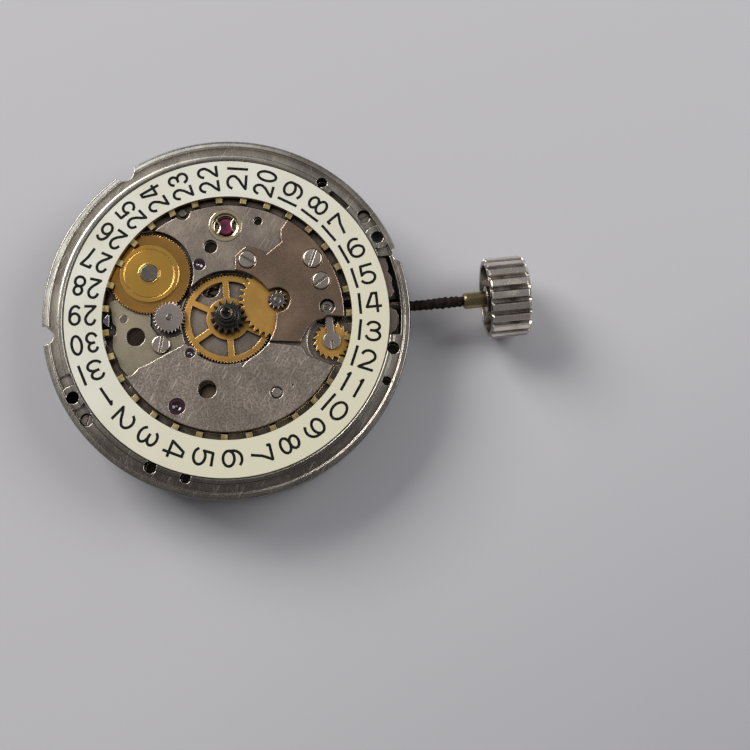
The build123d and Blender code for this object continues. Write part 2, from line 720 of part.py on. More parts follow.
def plate_profile():
    """Half section of the main plate, turned about the hands' axis."""
    ease = CHAMFER + AIR / 2
    return [
        (0, platform_z), (WORKS_R - ease, platform_z), (WORKS_R, platform_z - ease),
        (WORKS_R, groove_z), (bed_inner_r, groove_z), (bed_inner_r, bed_z),
        (ridge_inner_r, bed_z), (ridge_inner_r, DIAL_SEAT_Z - ease),
        (ridge_inner_r + ease, DIAL_SEAT_Z), (ridge_outer_r - ease, DIAL_SEAT_Z),
        (ridge_outer_r, DIAL_SEAT_Z - ease), (ridge_outer_r, DIAL_SEAT_Z - BAND_DROP),
        (lip_inner_r, DIAL_SEAT_Z - BAND_DROP), (lip_inner_r + ease, DIAL_SEAT_Z - LIP_DROP),
        (flange_r - ease, DIAL_SEAT_Z - LIP_DROP), (flange_r, DIAL_SEAT_Z - LIP_DROP - ease),
        (flange_r, DIAL_SEAT_Z - FLANGE_T), (case_r, DIAL_SEAT_Z - FLANGE_T), (case_r, bridge_top),
        (wall_inner_r, bridge_top), (wall_inner_r, plate_back), (0, plate_back),
    ]


def plate_recesses(plate):
    """Cuts the wells of the dial side."""
    top = DIAL_SEAT_Z + OVERRUN
    works = disc(bed_inner_r - AIR)
    plate -= bar(DRIVE_RECESS_R, drive_floor, top)
    plate -= lift(disc(MINUTE_RECESS_R, MINUTE_AT) & works, minute_low - AIR, top)
    left = (outline(spread(JUMPER_RECESS_SHARES, WORKS_R)) & works) + disc(DATE_RECESS_R, DATE_AT)
    plate -= lift(left, jumper_floor, top)
    plate -= bar(SETTING_WELL_R, plate_back - SETTING_FLOOR_GAP, top, setting_at)
    rocker = disc(CORRECTOR_POCKET_R, corrector_at) + strip(setting_at, corrector_at, CORRECTOR_POCKET_R)
    plate -= lift(rocker & works, corrector_floor, top)
    bed = disc(keyless_slot_inner_r)
    levers = outline(spread(LEVER_RECESS_SHARES, WORKS_R)) & bed
    plate -= lift(levers, LEVER_FLOOR_Z, top)
    width = JUMPER_ARM_W + 6 * AIR
    arm = strip(JUMPER_FOOT_AT, JUMPER_ELBOW_AT, width) + disc(JUMPER_FOOT_R + AIR, JUMPER_FOOT_AT)
    arm += strip(JUMPER_ELBOW_AT, polar(ring_tip_r + 3 * AIR, jumper_angle), 2 * width)
    return plate - lift(arm & works, jumper_arm_low - END_SHAKE, top)


def plate_keyless(plate):
    """Cuts the slot beside the stem, the window of the pinions and the stem's bearings."""
    slot = disc(keyless_slot_outer_r) - disc(keyless_slot_inner_r)
    height = KEYLESS_SLOT_TOP_Y - KEYLESS_SLOT_LOW_Y
    middle = (KEYLESS_SLOT_TOP_Y + KEYLESS_SLOT_LOW_Y) / 2
    band = Pos(keyless_slot_outer_r, middle) * Rectangle(2 * keyless_slot_outer_r / 3, height)
    slot &= band
    plate -= lift(slot, KEYLESS_SLOT_FLOOR_Z, DIAL_SEAT_Z + OVERRUN)
    inner = (disc(keyless_slot_inner_r + AIR) - disc(wall_inner_r - AIR)) & band
    plate -= lift(inner, KEYLESS_SLOT_FLOOR_Z, plate_back)
    half = CLUTCH_WINDOW_W / 2
    ceiling = STEM_Z + half
    plate -= box_between(CLUTCH_WINDOW, (-half, half), (bridge_top - OVERRUN, ceiling))
    pin_half = STEM_BEARING_R + TURN_GAP
    pin_way = (CLUTCH_WINDOW[1] - STEM_GROOVE_W, keyless_slot_outer_r - SEAT_GAP)
    pin_reach = (-pin_half, pin_half + LEVER_PIN_R)
    plate -= box_between(pin_way, pin_reach, (STEM_Z - pin_half, DIAL_SEAT_Z + OVERRUN))
    clutch_way = (CLUTCH_X - CLUTCH_TRAVEL, CLUTCH_WINDOW[1])
    plate -= box_between(clutch_way, (-LEVER_W, LEVER_W), (STEM_Z, LEVER_FLOOR_Z + OVERRUN))
    plate -= along_x(STEM_BEARING_R + TURN_GAP, CLUTCH_WINDOW[1] - AIR, flange_r + OVERRUN)
    return plate - along_x(STEM_PIVOT_R + TURN_GAP, STEM_TIP_X - AIR, CLUTCH_WINDOW[0] + AIR)


def plate_bosses():
    """Solid parts of the bridge side: pillars and the block of the stem's inner pivot."""
    half = 3 * STEM_PIVOT_R
    wall_x = CLUTCH_WINDOW[0] + AIR
    block_x = (STEM_TIP_X - 2 * STEM_PIVOT_R, wall_x)
    stem_block = box_between(block_x, (-half, half), (STEM_Z - 2 * STEM_PIVOT_R, plate_back + AIR))
    floor = bar(SETTING_BOSS_R, plate_back - SETTING_BOSS_T, plate_back + AIR, setting_at)
    side = 2 * SETTING_BOSS_R
    floor &= box_between((setting_at[0] - side, wall_x), (-side, side), (STEM_Z, DIAL_SEAT_Z))
    cock_foot = bar(COCK_FOOT_R, bridge_top, plate_back + AIR, COCK_FOOT_AT)
    pillar = bar(PILLAR_R, bridge_top, plate_back + AIR, PILLAR_AT)
    feet = [bar(PALLET_PILLAR_R, pallet_cock_top, plate_back + AIR, foot) for foot in PALLET_FEET]
    return [stem_block, floor, cock_foot, pillar, *feet]


def plate_back_rooms(plate):
    """Cuts the rooms of the barrel and the balance in the wall of the bridge side."""
    low = bridge_top - OVERRUN
    plate -= bar(barrel_pocket_r, low, plate_back, barrel_at)
    return plate - bar(BALANCE_WELL_R, low, plate_back, BALANCE_AT)


def plate_train_holes(plate):
    """Cuts the holes of the arbors and jewels."""
    low = plate_back - AIR
    plate -= bar(THIRD_HOLE_R, low, DIAL_SEAT_Z, third_at)
    plate -= bar(SECOND_JEWEL_R + AIR, low, DIAL_SEAT_Z, second_at)
    plate -= bar(ARBOR_NECK_R + TURN_GAP, low, DIAL_SEAT_Z, barrel_at)
    plate -= bar(CENTRE_TUBE_R + SEAT_GAP, low, DIAL_SEAT_Z)
    plate -= bar(TRAIN_JEWEL_R + SEAT_GAP, low, DIAL_SEAT_Z, escape_at)
    plate -= bar(PALLET_JEWEL_R + SEAT_GAP, low, DIAL_SEAT_Z, PALLET_AT)
    plate -= bar(SHOCK_R + SEAT_GAP, low, DIAL_SEAT_Z, BALANCE_AT)
    sight, sight_r = SIGHT_HOLE
    plate -= bar(sight_r, low, DIAL_SEAT_Z, sight)
    hole, hole_r = LOWER_PLATE_HOLE
    return plate - bar(hole_r, low, DIAL_SEAT_Z, hole)


def plate_rim_holes(plate):
    """Cuts the holes, pockets and notches of the rim and the blind holes of the platform."""
    top = DIAL_SEAT_Z + OVERRUN
    for place, radius in RIM_HOLES:
        plate -= bar(radius, DIAL_SEAT_Z - RIM_HOLE_DEPTH, top, place)
    for place in DIAL_FEET:
        plate -= bar(DIAL_FOOT_R, bridge_top - OVERRUN, top, place)
        pocket = disc(FOOT_POCKET_W, place) - disc(FOOT_POCKET_W / 2, place)
        pocket = pocket & (disc(lip_inner_r) - disc(ridge_inner_r + AIR))
        plate -= lift(pocket, DIAL_SEAT_Z - BAND_DROP - FOOT_POCKET_DEPTH, top)
    for place, radius, turn in FOOT_SCREWS:
        low = DIAL_SEAT_Z - FOOT_SCREW_DEPTH - FOOT_SCREW_T
        plate -= bar(radius + SEAT_GAP, low, top, place)
    for place, radius in RIM_NOTCHES:
        plate -= bar(radius, bridge_top - OVERRUN, top, place)
    slit = disc(ridge_outer_r - CHAMFER) - disc(ridge_inner_r - AIR)
    reach = 2 * ridge_outer_r
    wedge = outline([CENTRE, polar(reach, SLIT_ANGLES[0]), polar(reach, SLIT_ANGLES[1])])
    plate -= lift(slit & wedge, DIAL_SEAT_Z - FLANGE_T, top)
    for place, radius in PLATFORM_HOLES:
        plate -= bar(radius, platform_z - PLATFORM_HOLE_DEPTH, top, place)
    return plate - bar(NOTCH_R, groove_z, top, NOTCH_AT)


def plate_screw_holes(plate):
    """Cuts the holes that the screws and studs stand in."""
    top = DIAL_SEAT_Z + OVERRUN
    for place, radius, turn in GUARD_SCREWS:
        plate -= bar(SCREW_SHANK_R + SEAT_GAP, plate_back - AIR, top, place)
    plate -= bar(SCREW_SHANK_R + SEAT_GAP, plate_back - AIR, top, JUMPER_SCREW[0])
    for place, radius in dial_studs():
        floor = plate_back - SETTING_BOSS_T + AIR if place == setting_at else plate_back - AIR
        plate -= bar(radius + SEAT_GAP, floor, top, place)
    low = bridge_top - OVERRUN
    deep = bridge_low + BRIDGE_SCREW_GRIP
    for place in BARREL_BRIDGE_SCREWS + TRAIN_BRIDGE_SCREWS + [PILLAR_AT, COCK_FOOT_AT]:
        plate -= bar(SCREW_SHANK_R + SEAT_GAP, low, deep + AIR, place)
    for place in PALLET_FEET:
        pin_r = PALLET_PILLAR_R / 2
        hole_top = pallet_cock_top + 2 * PALLET_COCK_T
        plate -= bar(pin_r + SEAT_GAP, pallet_cock_top - OVERRUN, hole_top, place)
    return plate


def dial_studs():
    """Places and radii of the studs that stand in the main plate."""
    return [
        (MINUTE_AT, SMALL_STUD_R), (setting_at, SMALL_STUD_R), (idler_at, SMALL_STUD_R),
        (DATE_AT, DATE_POST_R), (JUMPER_STUD[0], JUMPER_STUD[1]), (NOTCH_AT, NOTCH_POST_R),
        (SETTING_LEVER_AT, SMALL_STUD_R), (YOKE_AT, SMALL_STUD_R), (JUMPER_FOOT_AT, STEADY_PIN_R),
    ]


def main_plate():
    """Main plate: the turned disc with its flange and wall, and all its wells and holes."""
    plate = plate_back_rooms(revolve(outline_xz(plate_profile()), Axis.Z))
    for boss in plate_bosses():
        plate += boss
    plate = plate_recesses(plate)
    plate = plate_train_holes(plate)
    plate = plate_rim_holes(plate)
    plate = plate_screw_holes(plate)
    return plate_keyless(plate)


def outline_xz(points):
    """Flat face in the XZ plane from pairs of radius and height."""
    return make_face(Polyline(*[(r, 0, z) for r, z in points], close=True))


def lower_plate():
    """Large plate below the centre, with the upper bearings of three arbors."""
    face = outline(spread(LOWER_PLATE_SHARES, WORKS_R)) & disc(WORKS_R - AIR)
    face -= disc(DRIVE_RECESS_R)
    plate = eased(lift(face, platform_z, lower_plate_top))
    plate += bar(THIRD_JEWEL_R + 3 * AIR, platform_z, lower_plate_top, third_at)
    low, high = platform_z - OVERRUN, lower_plate_top + OVERRUN
    plate -= bar(SECOND_JEWEL_R + SEAT_GAP, low, high, second_at)
    plate -= bar(THIRD_JEWEL_R + SEAT_GAP, low, high, third_at)
    plate -= bar(ARBOR_UPPER_R + TURN_GAP, low, high, barrel_at)
    plate -= Pos(barrel_at[0], barrel_at[1], lower_plate_top) * Cone(
        ARBOR_UPPER_R, ARBOR_UPPER_R + 3 * CHAMFER, 3 * CHAMFER,
        align=(Align.CENTER, Align.CENTER, Align.MAX),
    )
    hole, hole_r = LOWER_PLATE_HOLE
    plate -= bar(hole_r, low, high, hole)
    dot, dot_r = SMALL_DOT
    return plate - bar(dot_r, platform_z + LOWER_PLATE_T / 2, high, dot)


def guard_plate():
    """Smooth plate over the minute wheel and the setting wheel."""
    face = outline(spread(GUARD_SHARES, WORKS_R)) & disc(WORKS_R - AIR)
    face -= disc(DRIVE_RECESS_R)
    mouth = polar(KEYHOLE_R, bearing_of(MINUTE_AT, CENTRE), MINUTE_AT)
    face -= strip(MINUTE_AT, mouth, 2 * KEYHOLE_R)
    plate = eased(lift(face, platform_z, guard_top))
    low, high = platform_z - OVERRUN, guard_top + OVERRUN
    plate -= bar(SETTING_WINDOW_R, low, high, setting_at)
    for place, radius, turn in GUARD_SCREWS:
        plate -= bar(SCREW_SHANK_R + SEAT_GAP, low, high, place)
        plate -= bar(radius + AIR, guard_top - SCREW_HEAD_T / 2, high, place)
    return plate


def date_jumper_plate():
    """Flat plate that covers the jumper's spring arm."""
    face = outline(spread(JUMPER_PLATE_SHARES, WORKS_R))
    face -= disc(IDLER_TIP_R + 4 * AIR, idler_at)
    plate = eased(lift(face, jumper_floor, jumper_plate_top))
    low, high = jumper_floor - OVERRUN, jumper_plate_top + OVERRUN
    hole, hole_r = JUMPER_HOLE
    plate -= bar(hole_r, low, high, hole)
    plate -= bar(JUMPER_STUD[1] + SEAT_GAP, low, high, JUMPER_STUD[0])
    return plate - bar(SCREW_SHANK_R + SEAT_GAP, low, high, JUMPER_SCREW[0])


def date_jumper():
    """One-piece spring: a foot, a thin arm and a raised nose between two date teeth."""
    low, high = jumper_arm_low, jumper_floor - END_SHAKE
    nose = jumper_nose()
    heel = polar(ring_tip_r, jumper_angle)
    arm = strip(JUMPER_FOOT_AT, JUMPER_ELBOW_AT, JUMPER_ARM_W) + strip(JUMPER_ELBOW_AT, heel, JUMPER_ARM_W)
    arm += disc(JUMPER_FOOT_R, JUMPER_FOOT_AT)
    solid = lift(arm + nose, low, high) + lift(nose, low, tooth_under + RING_TOOTH_T - END_SHAKE)
    return solid - bar(STEADY_PIN_R + SEAT_GAP, low - AIR, high + AIR, JUMPER_FOOT_AT)


def jumper_nose():
    """Wedge that points outwards between two teeth of the date ring."""
    base, tip = WORKS_R + END_SHAKE, WORKS_R + END_SHAKE + JUMPER_NOSE_L
    wide, narrow = JUMPER_NOSE_W / 2, JUMPER_NOSE_TIP_W / 2
    shoulder = base + JUMPER_NOSE_L / 4
    lower_side = [(base, -wide), (shoulder, -wide), (tip, -narrow)]
    points = lower_side + [(tip, narrow), (shoulder, wide), (base, wide)]
    return Rot(0, 0, jumper_angle) * outline(points)


def cannon_pinion():
    """Steel pinion that carries the minute hand's seat and turns on the centre tube."""
    leaf_top = DIAL_SEAT_Z - CANNON_LEAF_DROP
    leaves = lift(gear_face(CANNON_TEETH, minute_module, cannon_turn), drive_top, leaf_top)
    tail = bar(CANNON_TAIL_R, drive_low - DRIVE_FLOOR_GAP / 2, drive_top)
    neck = bar(CANNON_NECK_R, leaf_top, CANNON_TOP - CANNON_SEAT_RISE)
    seat = bar(CANNON_SEAT_R, leaf_top, CANNON_TOP)
    solid = leaves + tail + neck + seat
    return solid - bar(CENTRE_TUBE_R + TURN_GAP, drive_floor, CANNON_TOP + OVERRUN)


def driving_wheel():
    """Brass wheel that the third wheel turns, with six spokes and fine teeth."""
    face = gear_face(DRIVE_TEETH, DRIVE_MODULE, drive_turn, fine=True)
    rim_inner = drive_pitch_r - DRIVE_RIM_W
    web = spoked(face, rim_inner, DRIVE_HUB_R, DRIVE_SPOKES, DRIVE_SPOKE_W, CENTRE, DRIVE_SPOKE_TURN)
    wheel = lift(web, drive_low, drive_top)
    return wheel - bar(CANNON_TAIL_R + SEAT_GAP, drive_floor, drive_top + AIR)


def centre_tube():
    """Fixed tube in the middle of the main plate."""
    body = bar(CENTRE_TUBE_R, plate_back, CENTRE_TUBE_TOP)
    body += bar(CENTRE_TUBE_FLANGE_R - AIR, plate_back - AIR, plate_back)
    return body - bar(SECONDS_R + TURN_GAP, plate_back - OVERRUN, CENTRE_TUBE_TOP + OVERRUN)


def minute_wheel():
    """Brass disc wheel between the cannon pinion and the setting wheel."""
    face = gear_face(MINUTE_TEETH, minute_module, minute_turn, MINUTE_AT)
    return lift(face, minute_low, minute_top) - bar(
        MINUTE_PINION_PITCH_R - 2 * AIR, minute_low - AIR, minute_top + AIR, MINUTE_AT)


def minute_pinion():
    """Steel pinion of twelve leaves, pressed in the minute wheel."""
    high = DIAL_SEAT_Z - MINUTE_PINION_TOP_DROP
    leaves = lift(gear_face(MINUTE_PINION_TEETH, minute_pinion_module, 0, MINUTE_AT), minute_top, high)
    shank = bar(MINUTE_PINION_PITCH_R - 2 * AIR - SEAT_GAP, minute_low, minute_top, MINUTE_AT)
    return leaves + shank - bar(SMALL_STUD_R + TURN_GAP, minute_low - AIR, high + AIR, MINUTE_AT)


def setting_wheel():
    """Tall steel wheel that the sliding pinion turns when the crown is pulled."""
    face = gear_face(SETTING_TEETH, minute_module, setting_turn, setting_at)
    solid = lift(face, plate_back, setting_top)
    return solid - bar(SMALL_STUD_R + TURN_GAP, plate_back - AIR, setting_top + AIR, setting_at)


def date_driving_wheel():
    """Gold wheel that turns once a day, with a raised disc and a boss."""
    low, high = date_low, date_top
    wheel = lift(gear_face(DATE_TEETH, DATE_MODULE, date_turn, DATE_AT, fine=True), low, high)
    wheel += bar(DATE_DOME_R, high, dome_top, DATE_AT)
    line_low = dome_top - DATE_LINE_DEPTH
    wheel -= tube(DATE_DOME_LINE_R + AIR, DATE_DOME_LINE_R, line_low, dome_top + AIR, DATE_AT)
    wheel += bar(DATE_BOSS_R, dome_top, dome_top + DATE_LINE_DEPTH, DATE_AT)
    return wheel - bar(DATE_POST_R + TURN_GAP, low - AIR, dome_top + OVERRUN, DATE_AT)


def date_idler():
    """Steel wheel over its small pinion, between the hour wheel's place and the gold wheel."""
    leaves = gear_face(IDLER_PINION_TEETH, DATE_MODULE, idler_pinion_turn, idler_at)
    pinion = lift(leaves, date_low, idler_low)
    tooth_h = 2 * IDLER_TIP_R / IDLER_TEETH
    points = tooth_points(IDLER_TEETH, IDLER_TIP_R, IDLER_TIP_R - tooth_h * 2, 0, CREST_SHARE, GAP_SHARE)
    wheel = lift(Pos(*idler_at) * outline(points), idler_low, idler_top)
    return pinion + wheel - bar(SMALL_STUD_R + TURN_GAP, date_low - AIR, idler_top + AIR, idler_at)


def corrector_wheel():
    """Brass wheel with saw teeth for the quick change of the date."""
    lean = CORRECTOR_LEAN_SHARE
    points = tooth_points(CORRECTOR_TEETH, CORRECTOR_TIP_R, CORRECTOR_ROOT_R, 0, 0, 0, lean_share=lean)
    solid = lift(Pos(*corrector_at) * outline(points), corrector_low, corrector_top)
    return solid - bar(SMALL_STUD_R + TURN_GAP, corrector_low - AIR, corrector_top + AIR, corrector_at)


def corrector_rocker():
    """Steel rocker about the setting wheel's stud, which carries the corrector wheel."""
    face = disc(CORRECTOR_RING_R, setting_at)
    face += strip(setting_at, corrector_at, CORRECTOR_LEVER_W)
    face += disc(CORRECTOR_SHIELD_R, corrector_at)
    solid = lift(face, corrector_lever_low, corrector_lever_top)
    solid -= bar(SMALL_STUD_R + TURN_GAP, corrector_lever_low - AIR, platform_z, setting_at)
    slot = Box(SCREW_SLOT_W, CORRECTOR_SHIELD_R, CORRECTOR_LEVER_T)
    solid -= Pos(corrector_at[0], corrector_at[1] - CORRECTOR_SHIELD_R / 2, corrector_lever_top) * slot
    return solid + bar(SMALL_STUD_R, corrector_low, corrector_lever_low, corrector_at)


def dial_side_studs():
    """Studs in the main plate that wheels and levers turn on."""
    low = plate_back
    tops = {
        MINUTE_AT: DIAL_SEAT_Z - MINUTE_PINION_TOP_DROP + END_SHAKE,
        setting_at: corrector_lever_top + END_SHAKE,
        idler_at: idler_top + AIR,
        DATE_AT: dome_top + 2 * DATE_LINE_DEPTH,
        JUMPER_STUD[0]: jumper_plate_top + END_SHAKE,
        NOTCH_AT: tooth_under - END_SHAKE,
        SETTING_LEVER_AT: lever_top + AIR,
        YOKE_AT: lever_top + AIR,
        JUMPER_FOOT_AT: jumper_floor - END_SHAKE,
    }
    lows = {setting_at: low - SETTING_BOSS_T + AIR}
    studs = [bar(radius, lows.get(place, low), tops[place], place) for place, radius in dial_studs()]
    return Compound(children=studs)


def dial_side_screws():
    """Slotted screws of the guard plate and of the jumper plate."""
    screws = []
    for place, radius, turn in GUARD_SCREWS:
        low = guard_top - SCREW_HEAD_T / 2
        screws.append(screw(place, radius, low, SCREW_HEAD_T, SCREW_SHANK_R, plate_back, turn))
    place, radius, turn = JUMPER_SCREW
    low = jumper_plate_top
    screws.append(screw(place, radius, low, SCREW_HEAD_T, SCREW_SHANK_R, plate_back, turn))
    return Compound(children=screws)


def dial_foot_screws():
    """Slotted cams beside the dial-foot holes."""
    cams = []
    for place, radius, turn in FOOT_SCREWS:
        low = DIAL_SEAT_Z - FOOT_SCREW_DEPTH - FOOT_SCREW_T
        cam = bar(radius, low, DIAL_SEAT_Z - FOOT_SCREW_DEPTH, place)
        slot = Box(2 * radius + AIR, SCREW_SLOT_W, 2 * SCREW_SLOT_DEPTH)
        cams.append(cam - Pos(place[0], place[1], DIAL_SEAT_Z - FOOT_SCREW_DEPTH) * Rot(0, 0, turn) * slot)
    return Compound(children=cams)


def jewel(radius, low, high, at, hole_r=PIVOT_R):
    """Pierced jewel with an oil cup on the side of its top."""
    stone = tube(radius, hole_r + SEAT_GAP, low, high, at)
    cup_r = radius * 2 / 3
    return stone - Pos(at[0], at[1], high) * Sphere(cup_r / 2)


def dial_side_jewels():
    """Jewels set in the lower plate and in the main plate."""
    escape_high = drive_floor
    stones = [
        jewel(SECOND_JEWEL_R, platform_z, lower_plate_top, second_at),
        jewel(THIRD_JEWEL_R, platform_z, lower_plate_top, third_at),
        jewel(PALLET_JEWEL_R, platform_z - AIR - PALLET_JEWEL_T, platform_z - AIR, PALLET_AT),
        jewel(TRAIN_JEWEL_R, plate_back, escape_high, escape_at),
    ]
    return Compound(children=stones)


def second_wheel():
    """Wheel and pinion between the barrel and the third wheel."""
    at = second_at
    face = gear_face(SECOND_TEETH, SECOND_MODULE, second_turn, at, fine=True)
    rim = SECOND_TEETH * SECOND_MODULE / 2 - TRAIN_RIM_W
    wheel = lift(spoked(face, rim, TRAIN_HUB_R, TRAIN_SPOKES, TRAIN_SPOKE_W, at), second_low, second_top)
    pinion = lift(gear_face(SECOND_PINION_TEETH, BARREL_MODULE, second_pinion_turn, at),
                  barrel_top - BARREL_TOOTH_T - AIR, barrel_top + AIR)
    wheel += pinion
    return wheel + arbor(at, bridge_low + AIR, bridge_top + AIR, platform_z - AIR, lower_plate_top - AIR)


def arbor(at, low, low_shoulder, high_shoulder, high):
    """Arbor with a thin pivot at each end."""
    return bar(ARBOR_R, low_shoulder, high_shoulder, at) + bar(PIVOT_R, low, high, at)


def third_wheel():
    """Wheel with a pinion below and the pinion of the driving wheel on the dial side."""
    at = third_at
    face = gear_face(THIRD_TEETH, third_module, third_turn, at, fine=True)
    rim = THIRD_TEETH * third_module / 2 - TRAIN_RIM_W
    web = spoked(face, rim, TRAIN_HUB_R, TRAIN_SPOKES, TRAIN_SPOKE_W, at, THIRD_SPOKE_TURN)
    wheel = lift(web, third_low, third_top)
    leaves = gear_face(THIRD_PINION_TEETH, SECOND_MODULE, third_pinion_turn, at)
    pinion = lift(leaves, second_low - AIR, second_top + AIR)
    drive_leaves = gear_face(DRIVE_PINION_TEETH, DRIVE_MODULE, drive_pinion_turn, at)
    wheel += pinion + lift(drive_leaves, drive_low, drive_top)
    return wheel + arbor(at, bridge_low + AIR, bridge_top + AIR, platform_z - AIR, lower_plate_top - AIR)


def fourth_wheel():
    """Centre wheel that turns once a minute; its long pivot carries the seconds hand."""
    face = gear_face(FOURTH_TEETH, fourth_module, fourth_turn, fine=True)
    rim = FOURTH_TEETH * fourth_module / 2 - TRAIN_RIM_W
    turn = FOURTH_SPOKE_TURN
    web = spoked(face, rim, TRAIN_HUB_R, TRAIN_SPOKES, TRAIN_SPOKE_W, CENTRE, turn)
    wheel = lift(web, fourth_low, fourth_top)
    leaves = gear_face(FOURTH_PINION_TEETH, third_module, fourth_pinion_turn)
    pinion = lift(leaves, third_low - AIR, third_top + AIR)
    seconds = bar(SECONDS_R, third_low, SECONDS_TOP)
    seconds = chamfer(seconds.edges().group_by(Axis.Z)[-1], CHAMFER)
    lower = bar(ARBOR_R, bridge_top + AIR, third_low, CENTRE) + bar(PIVOT_R, bridge_low + AIR, third_low)
    return wheel + pinion + seconds + lower


def escape_wheel():
    """Steel escape wheel of twenty hooked teeth and its pinion."""
    tip_low_share = HOOK_SHARE
    points = []
    step = 360 / ESCAPE_TEETH
    root = escape_r - LEAF_DEPTH
    for index in range(ESCAPE_TEETH):
        middle = escape_turn + index * step
        points.append(polar(root, middle))
        points.append(polar(escape_r - CHAMFER, middle + tip_low_share * step))
        points.append(polar(escape_r, middle + 2 * tip_low_share * step))
        points.append(polar(root, middle + tip_low_share * step * 3 / 2))
    face = Pos(*escape_at) * outline(points)
    rim = root - TRAIN_RIM_W / 2
    web = spoked(face, rim, TRAIN_HUB_R, ESCAPE_SPOKES, TRAIN_SPOKE_W, escape_at)
    leaves = gear_face(ESCAPE_PINION_TEETH, fourth_module, escape_pinion_turn, escape_at)
    wheel = lift(web, escape_low, escape_top) + lift(leaves, fourth_low - AIR, fourth_top + AIR)
    return wheel + arbor(escape_at, bridge_low + AIR, bridge_top + AIR, plate_back - AIR, drive_floor - AIR)


def pallet_stone_places():
    """Places of the two stones' seats, outside the circle of the escape wheel's tips."""
    reach = escape_r + STONE_L * 3 / 4
    return [polar(reach, fork_angle + side * ESCAPE_SPAN_ANGLE, escape_at) for side in (-1, 1)]


def pallet_fork():
    """Lever between the escape wheel and the balance, with its two arms."""
    horn = polar(math.dist(PALLET_AT, BALANCE_AT) - IMPULSE_R + FORK_W / 2, fork_angle, PALLET_AT)
    face = strip(PALLET_AT, horn, FORK_W)
    head = polar(-FORK_W / 2, fork_angle, horn)
    face += Pos(*head) * Rot(0, 0, fork_angle) * Rectangle(2 * FORK_W, 3 * FORK_W)
    face += disc(FORK_W, PALLET_AT)
    for place in pallet_stone_places():
        face += strip(PALLET_AT, place, FORK_W)
        face += disc(STONE_SEAT_R, place)
    notch = polar(math.dist(PALLET_AT, BALANCE_AT) - IMPULSE_R + FORK_W, fork_angle, PALLET_AT)
    face -= Pos(*notch) * Rot(0, 0, fork_angle) * Rectangle(3 * FORK_W, 2 * IMPULSE_PIN_R + AIR)
    solid = lift(face, fork_low, fork_top)
    for stone in stone_bars(SEAT_GAP):
        solid -= stone
    shoulder = platform_z - AIR - PALLET_JEWEL_T - END_SHAKE
    pivot_low = pallet_cock_top + END_SHAKE
    return solid + arbor(PALLET_AT, pallet_cock_low, pivot_low, shoulder, platform_z - 3 * AIR)


def stone_bars(grow):
    """The two pallet stones, or their slots a little larger."""
    bars = []
    for side in (-1, 1):
        turn = fork_angle + side * ESCAPE_SPAN_ANGLE
        centre = polar(escape_r + STONE_L / 3, turn, escape_at)
        size = (STONE_L + 2 * grow, STONE_W + 2 * grow, STONE_T + 2 * grow)
        middle_z = (fork_low + fork_top) / 2
        bars.append(Pos(centre[0], centre[1], middle_z) * Rot(0, 0, turn) * Box(*size))
    return bars


def pallet_stones():
    """Two ruby stones in the arms of the pallet fork."""
    return Compound(children=stone_bars(0))


def pallet_cock():
    """Small bridge under the pallet fork."""
    face = strip(PALLET_FEET[0], PALLET_AT, PALLET_COCK_W) + strip(PALLET_AT, PALLET_FEET[1], PALLET_COCK_W)
    solid = lift(face, pallet_cock_low, pallet_cock_top)
    for place in PALLET_FEET:
        solid += bar(PALLET_PILLAR_R / 2, pallet_cock_top, pallet_cock_top + PALLET_COCK_T, place)
    return solid - bar(PIVOT_R + SEAT_GAP, pallet_cock_low - AIR, pallet_cock_top + AIR, PALLET_AT)


def balance_wheel():
    """Smooth balance with a plain rim and three arms."""
    middle = (balance_low + balance_top) / 2
    rim = tube(BALANCE_R, BALANCE_R - BALANCE_RIM_W, balance_low, balance_top, BALANCE_AT)
    inner = BALANCE_R - BALANCE_RIM_W
    face = disc(BALANCE_HUB_R, BALANCE_AT)
    for index in range(3):
        end = polar(inner + BALANCE_RIM_W / 2, 90 + index * 120, BALANCE_AT)
        face += strip(BALANCE_AT, end, BALANCE_ARM_W)
    arms = lift(face, middle - BALANCE_ARM_T / 2, middle + BALANCE_ARM_T / 2)
    return rim + arms - bar(STAFF_R + SEAT_GAP, balance_low - AIR, balance_top + AIR, BALANCE_AT)


def balance_staff():
    """Turned staff of the balance, with a collar and two fine pivots."""
    low_tip = cock_low + SHOCK_JEWEL_T
    body = bar(STAFF_R, cock_top + AIR, shock_low - AIR, BALANCE_AT)
    middle = (balance_low + balance_top) / 2 - BALANCE_ARM_T / 2
    body += bar(BALANCE_HUB_R, middle - 3 * AIR, middle, BALANCE_AT)
    body += bar(STAFF_PIVOT_R, low_tip, shock_low + 2 * SHOCK_JEWEL_T, BALANCE_AT)
    return body


def roller():
    """Roller disc on the staff, with the impulse jewel in it."""
    solid = bar(ROLLER_R, roller_low, roller_top, BALANCE_AT)
    place = polar(-IMPULSE_R, fork_angle, BALANCE_AT)
    solid += bar(IMPULSE_PIN_R, fork_low, roller_low, place)
    return solid - bar(STAFF_R + SEAT_GAP, roller_low - AIR, roller_top + AIR, BALANCE_AT)


def spiral_face(inner, pitch, turns, width, at, turn=0):
    """Flat spiral strip made of half circles."""
    edges = []
    ends = []
    for offset in (0, width):
        points = []
        for half in range(2 * turns):
            radius = inner + half * pitch / 2 + offset
            centre = 0 if half % 2 == 0 else pitch / 2
            start, sweep = (0, 180) if half % 2 == 0 else (180, 180)
            edges.append(CenterArc((centre, 0), radius, start, sweep))
            points.append((centre + radius * math.cos(math.radians(start)), 0))
        last = inner + (2 * turns - 1) * pitch / 2 + offset + pitch / 2
        points.append((last, 0))
        ends.append((points[0], points[-1]))
    edges.append(Line(ends[0][0], ends[1][0]))
    edges.append(Line(ends[0][1], ends[1][1]))
    return Pos(at[0], at[1]) * Rot(0, 0, turn) * make_face(Wire(edges))


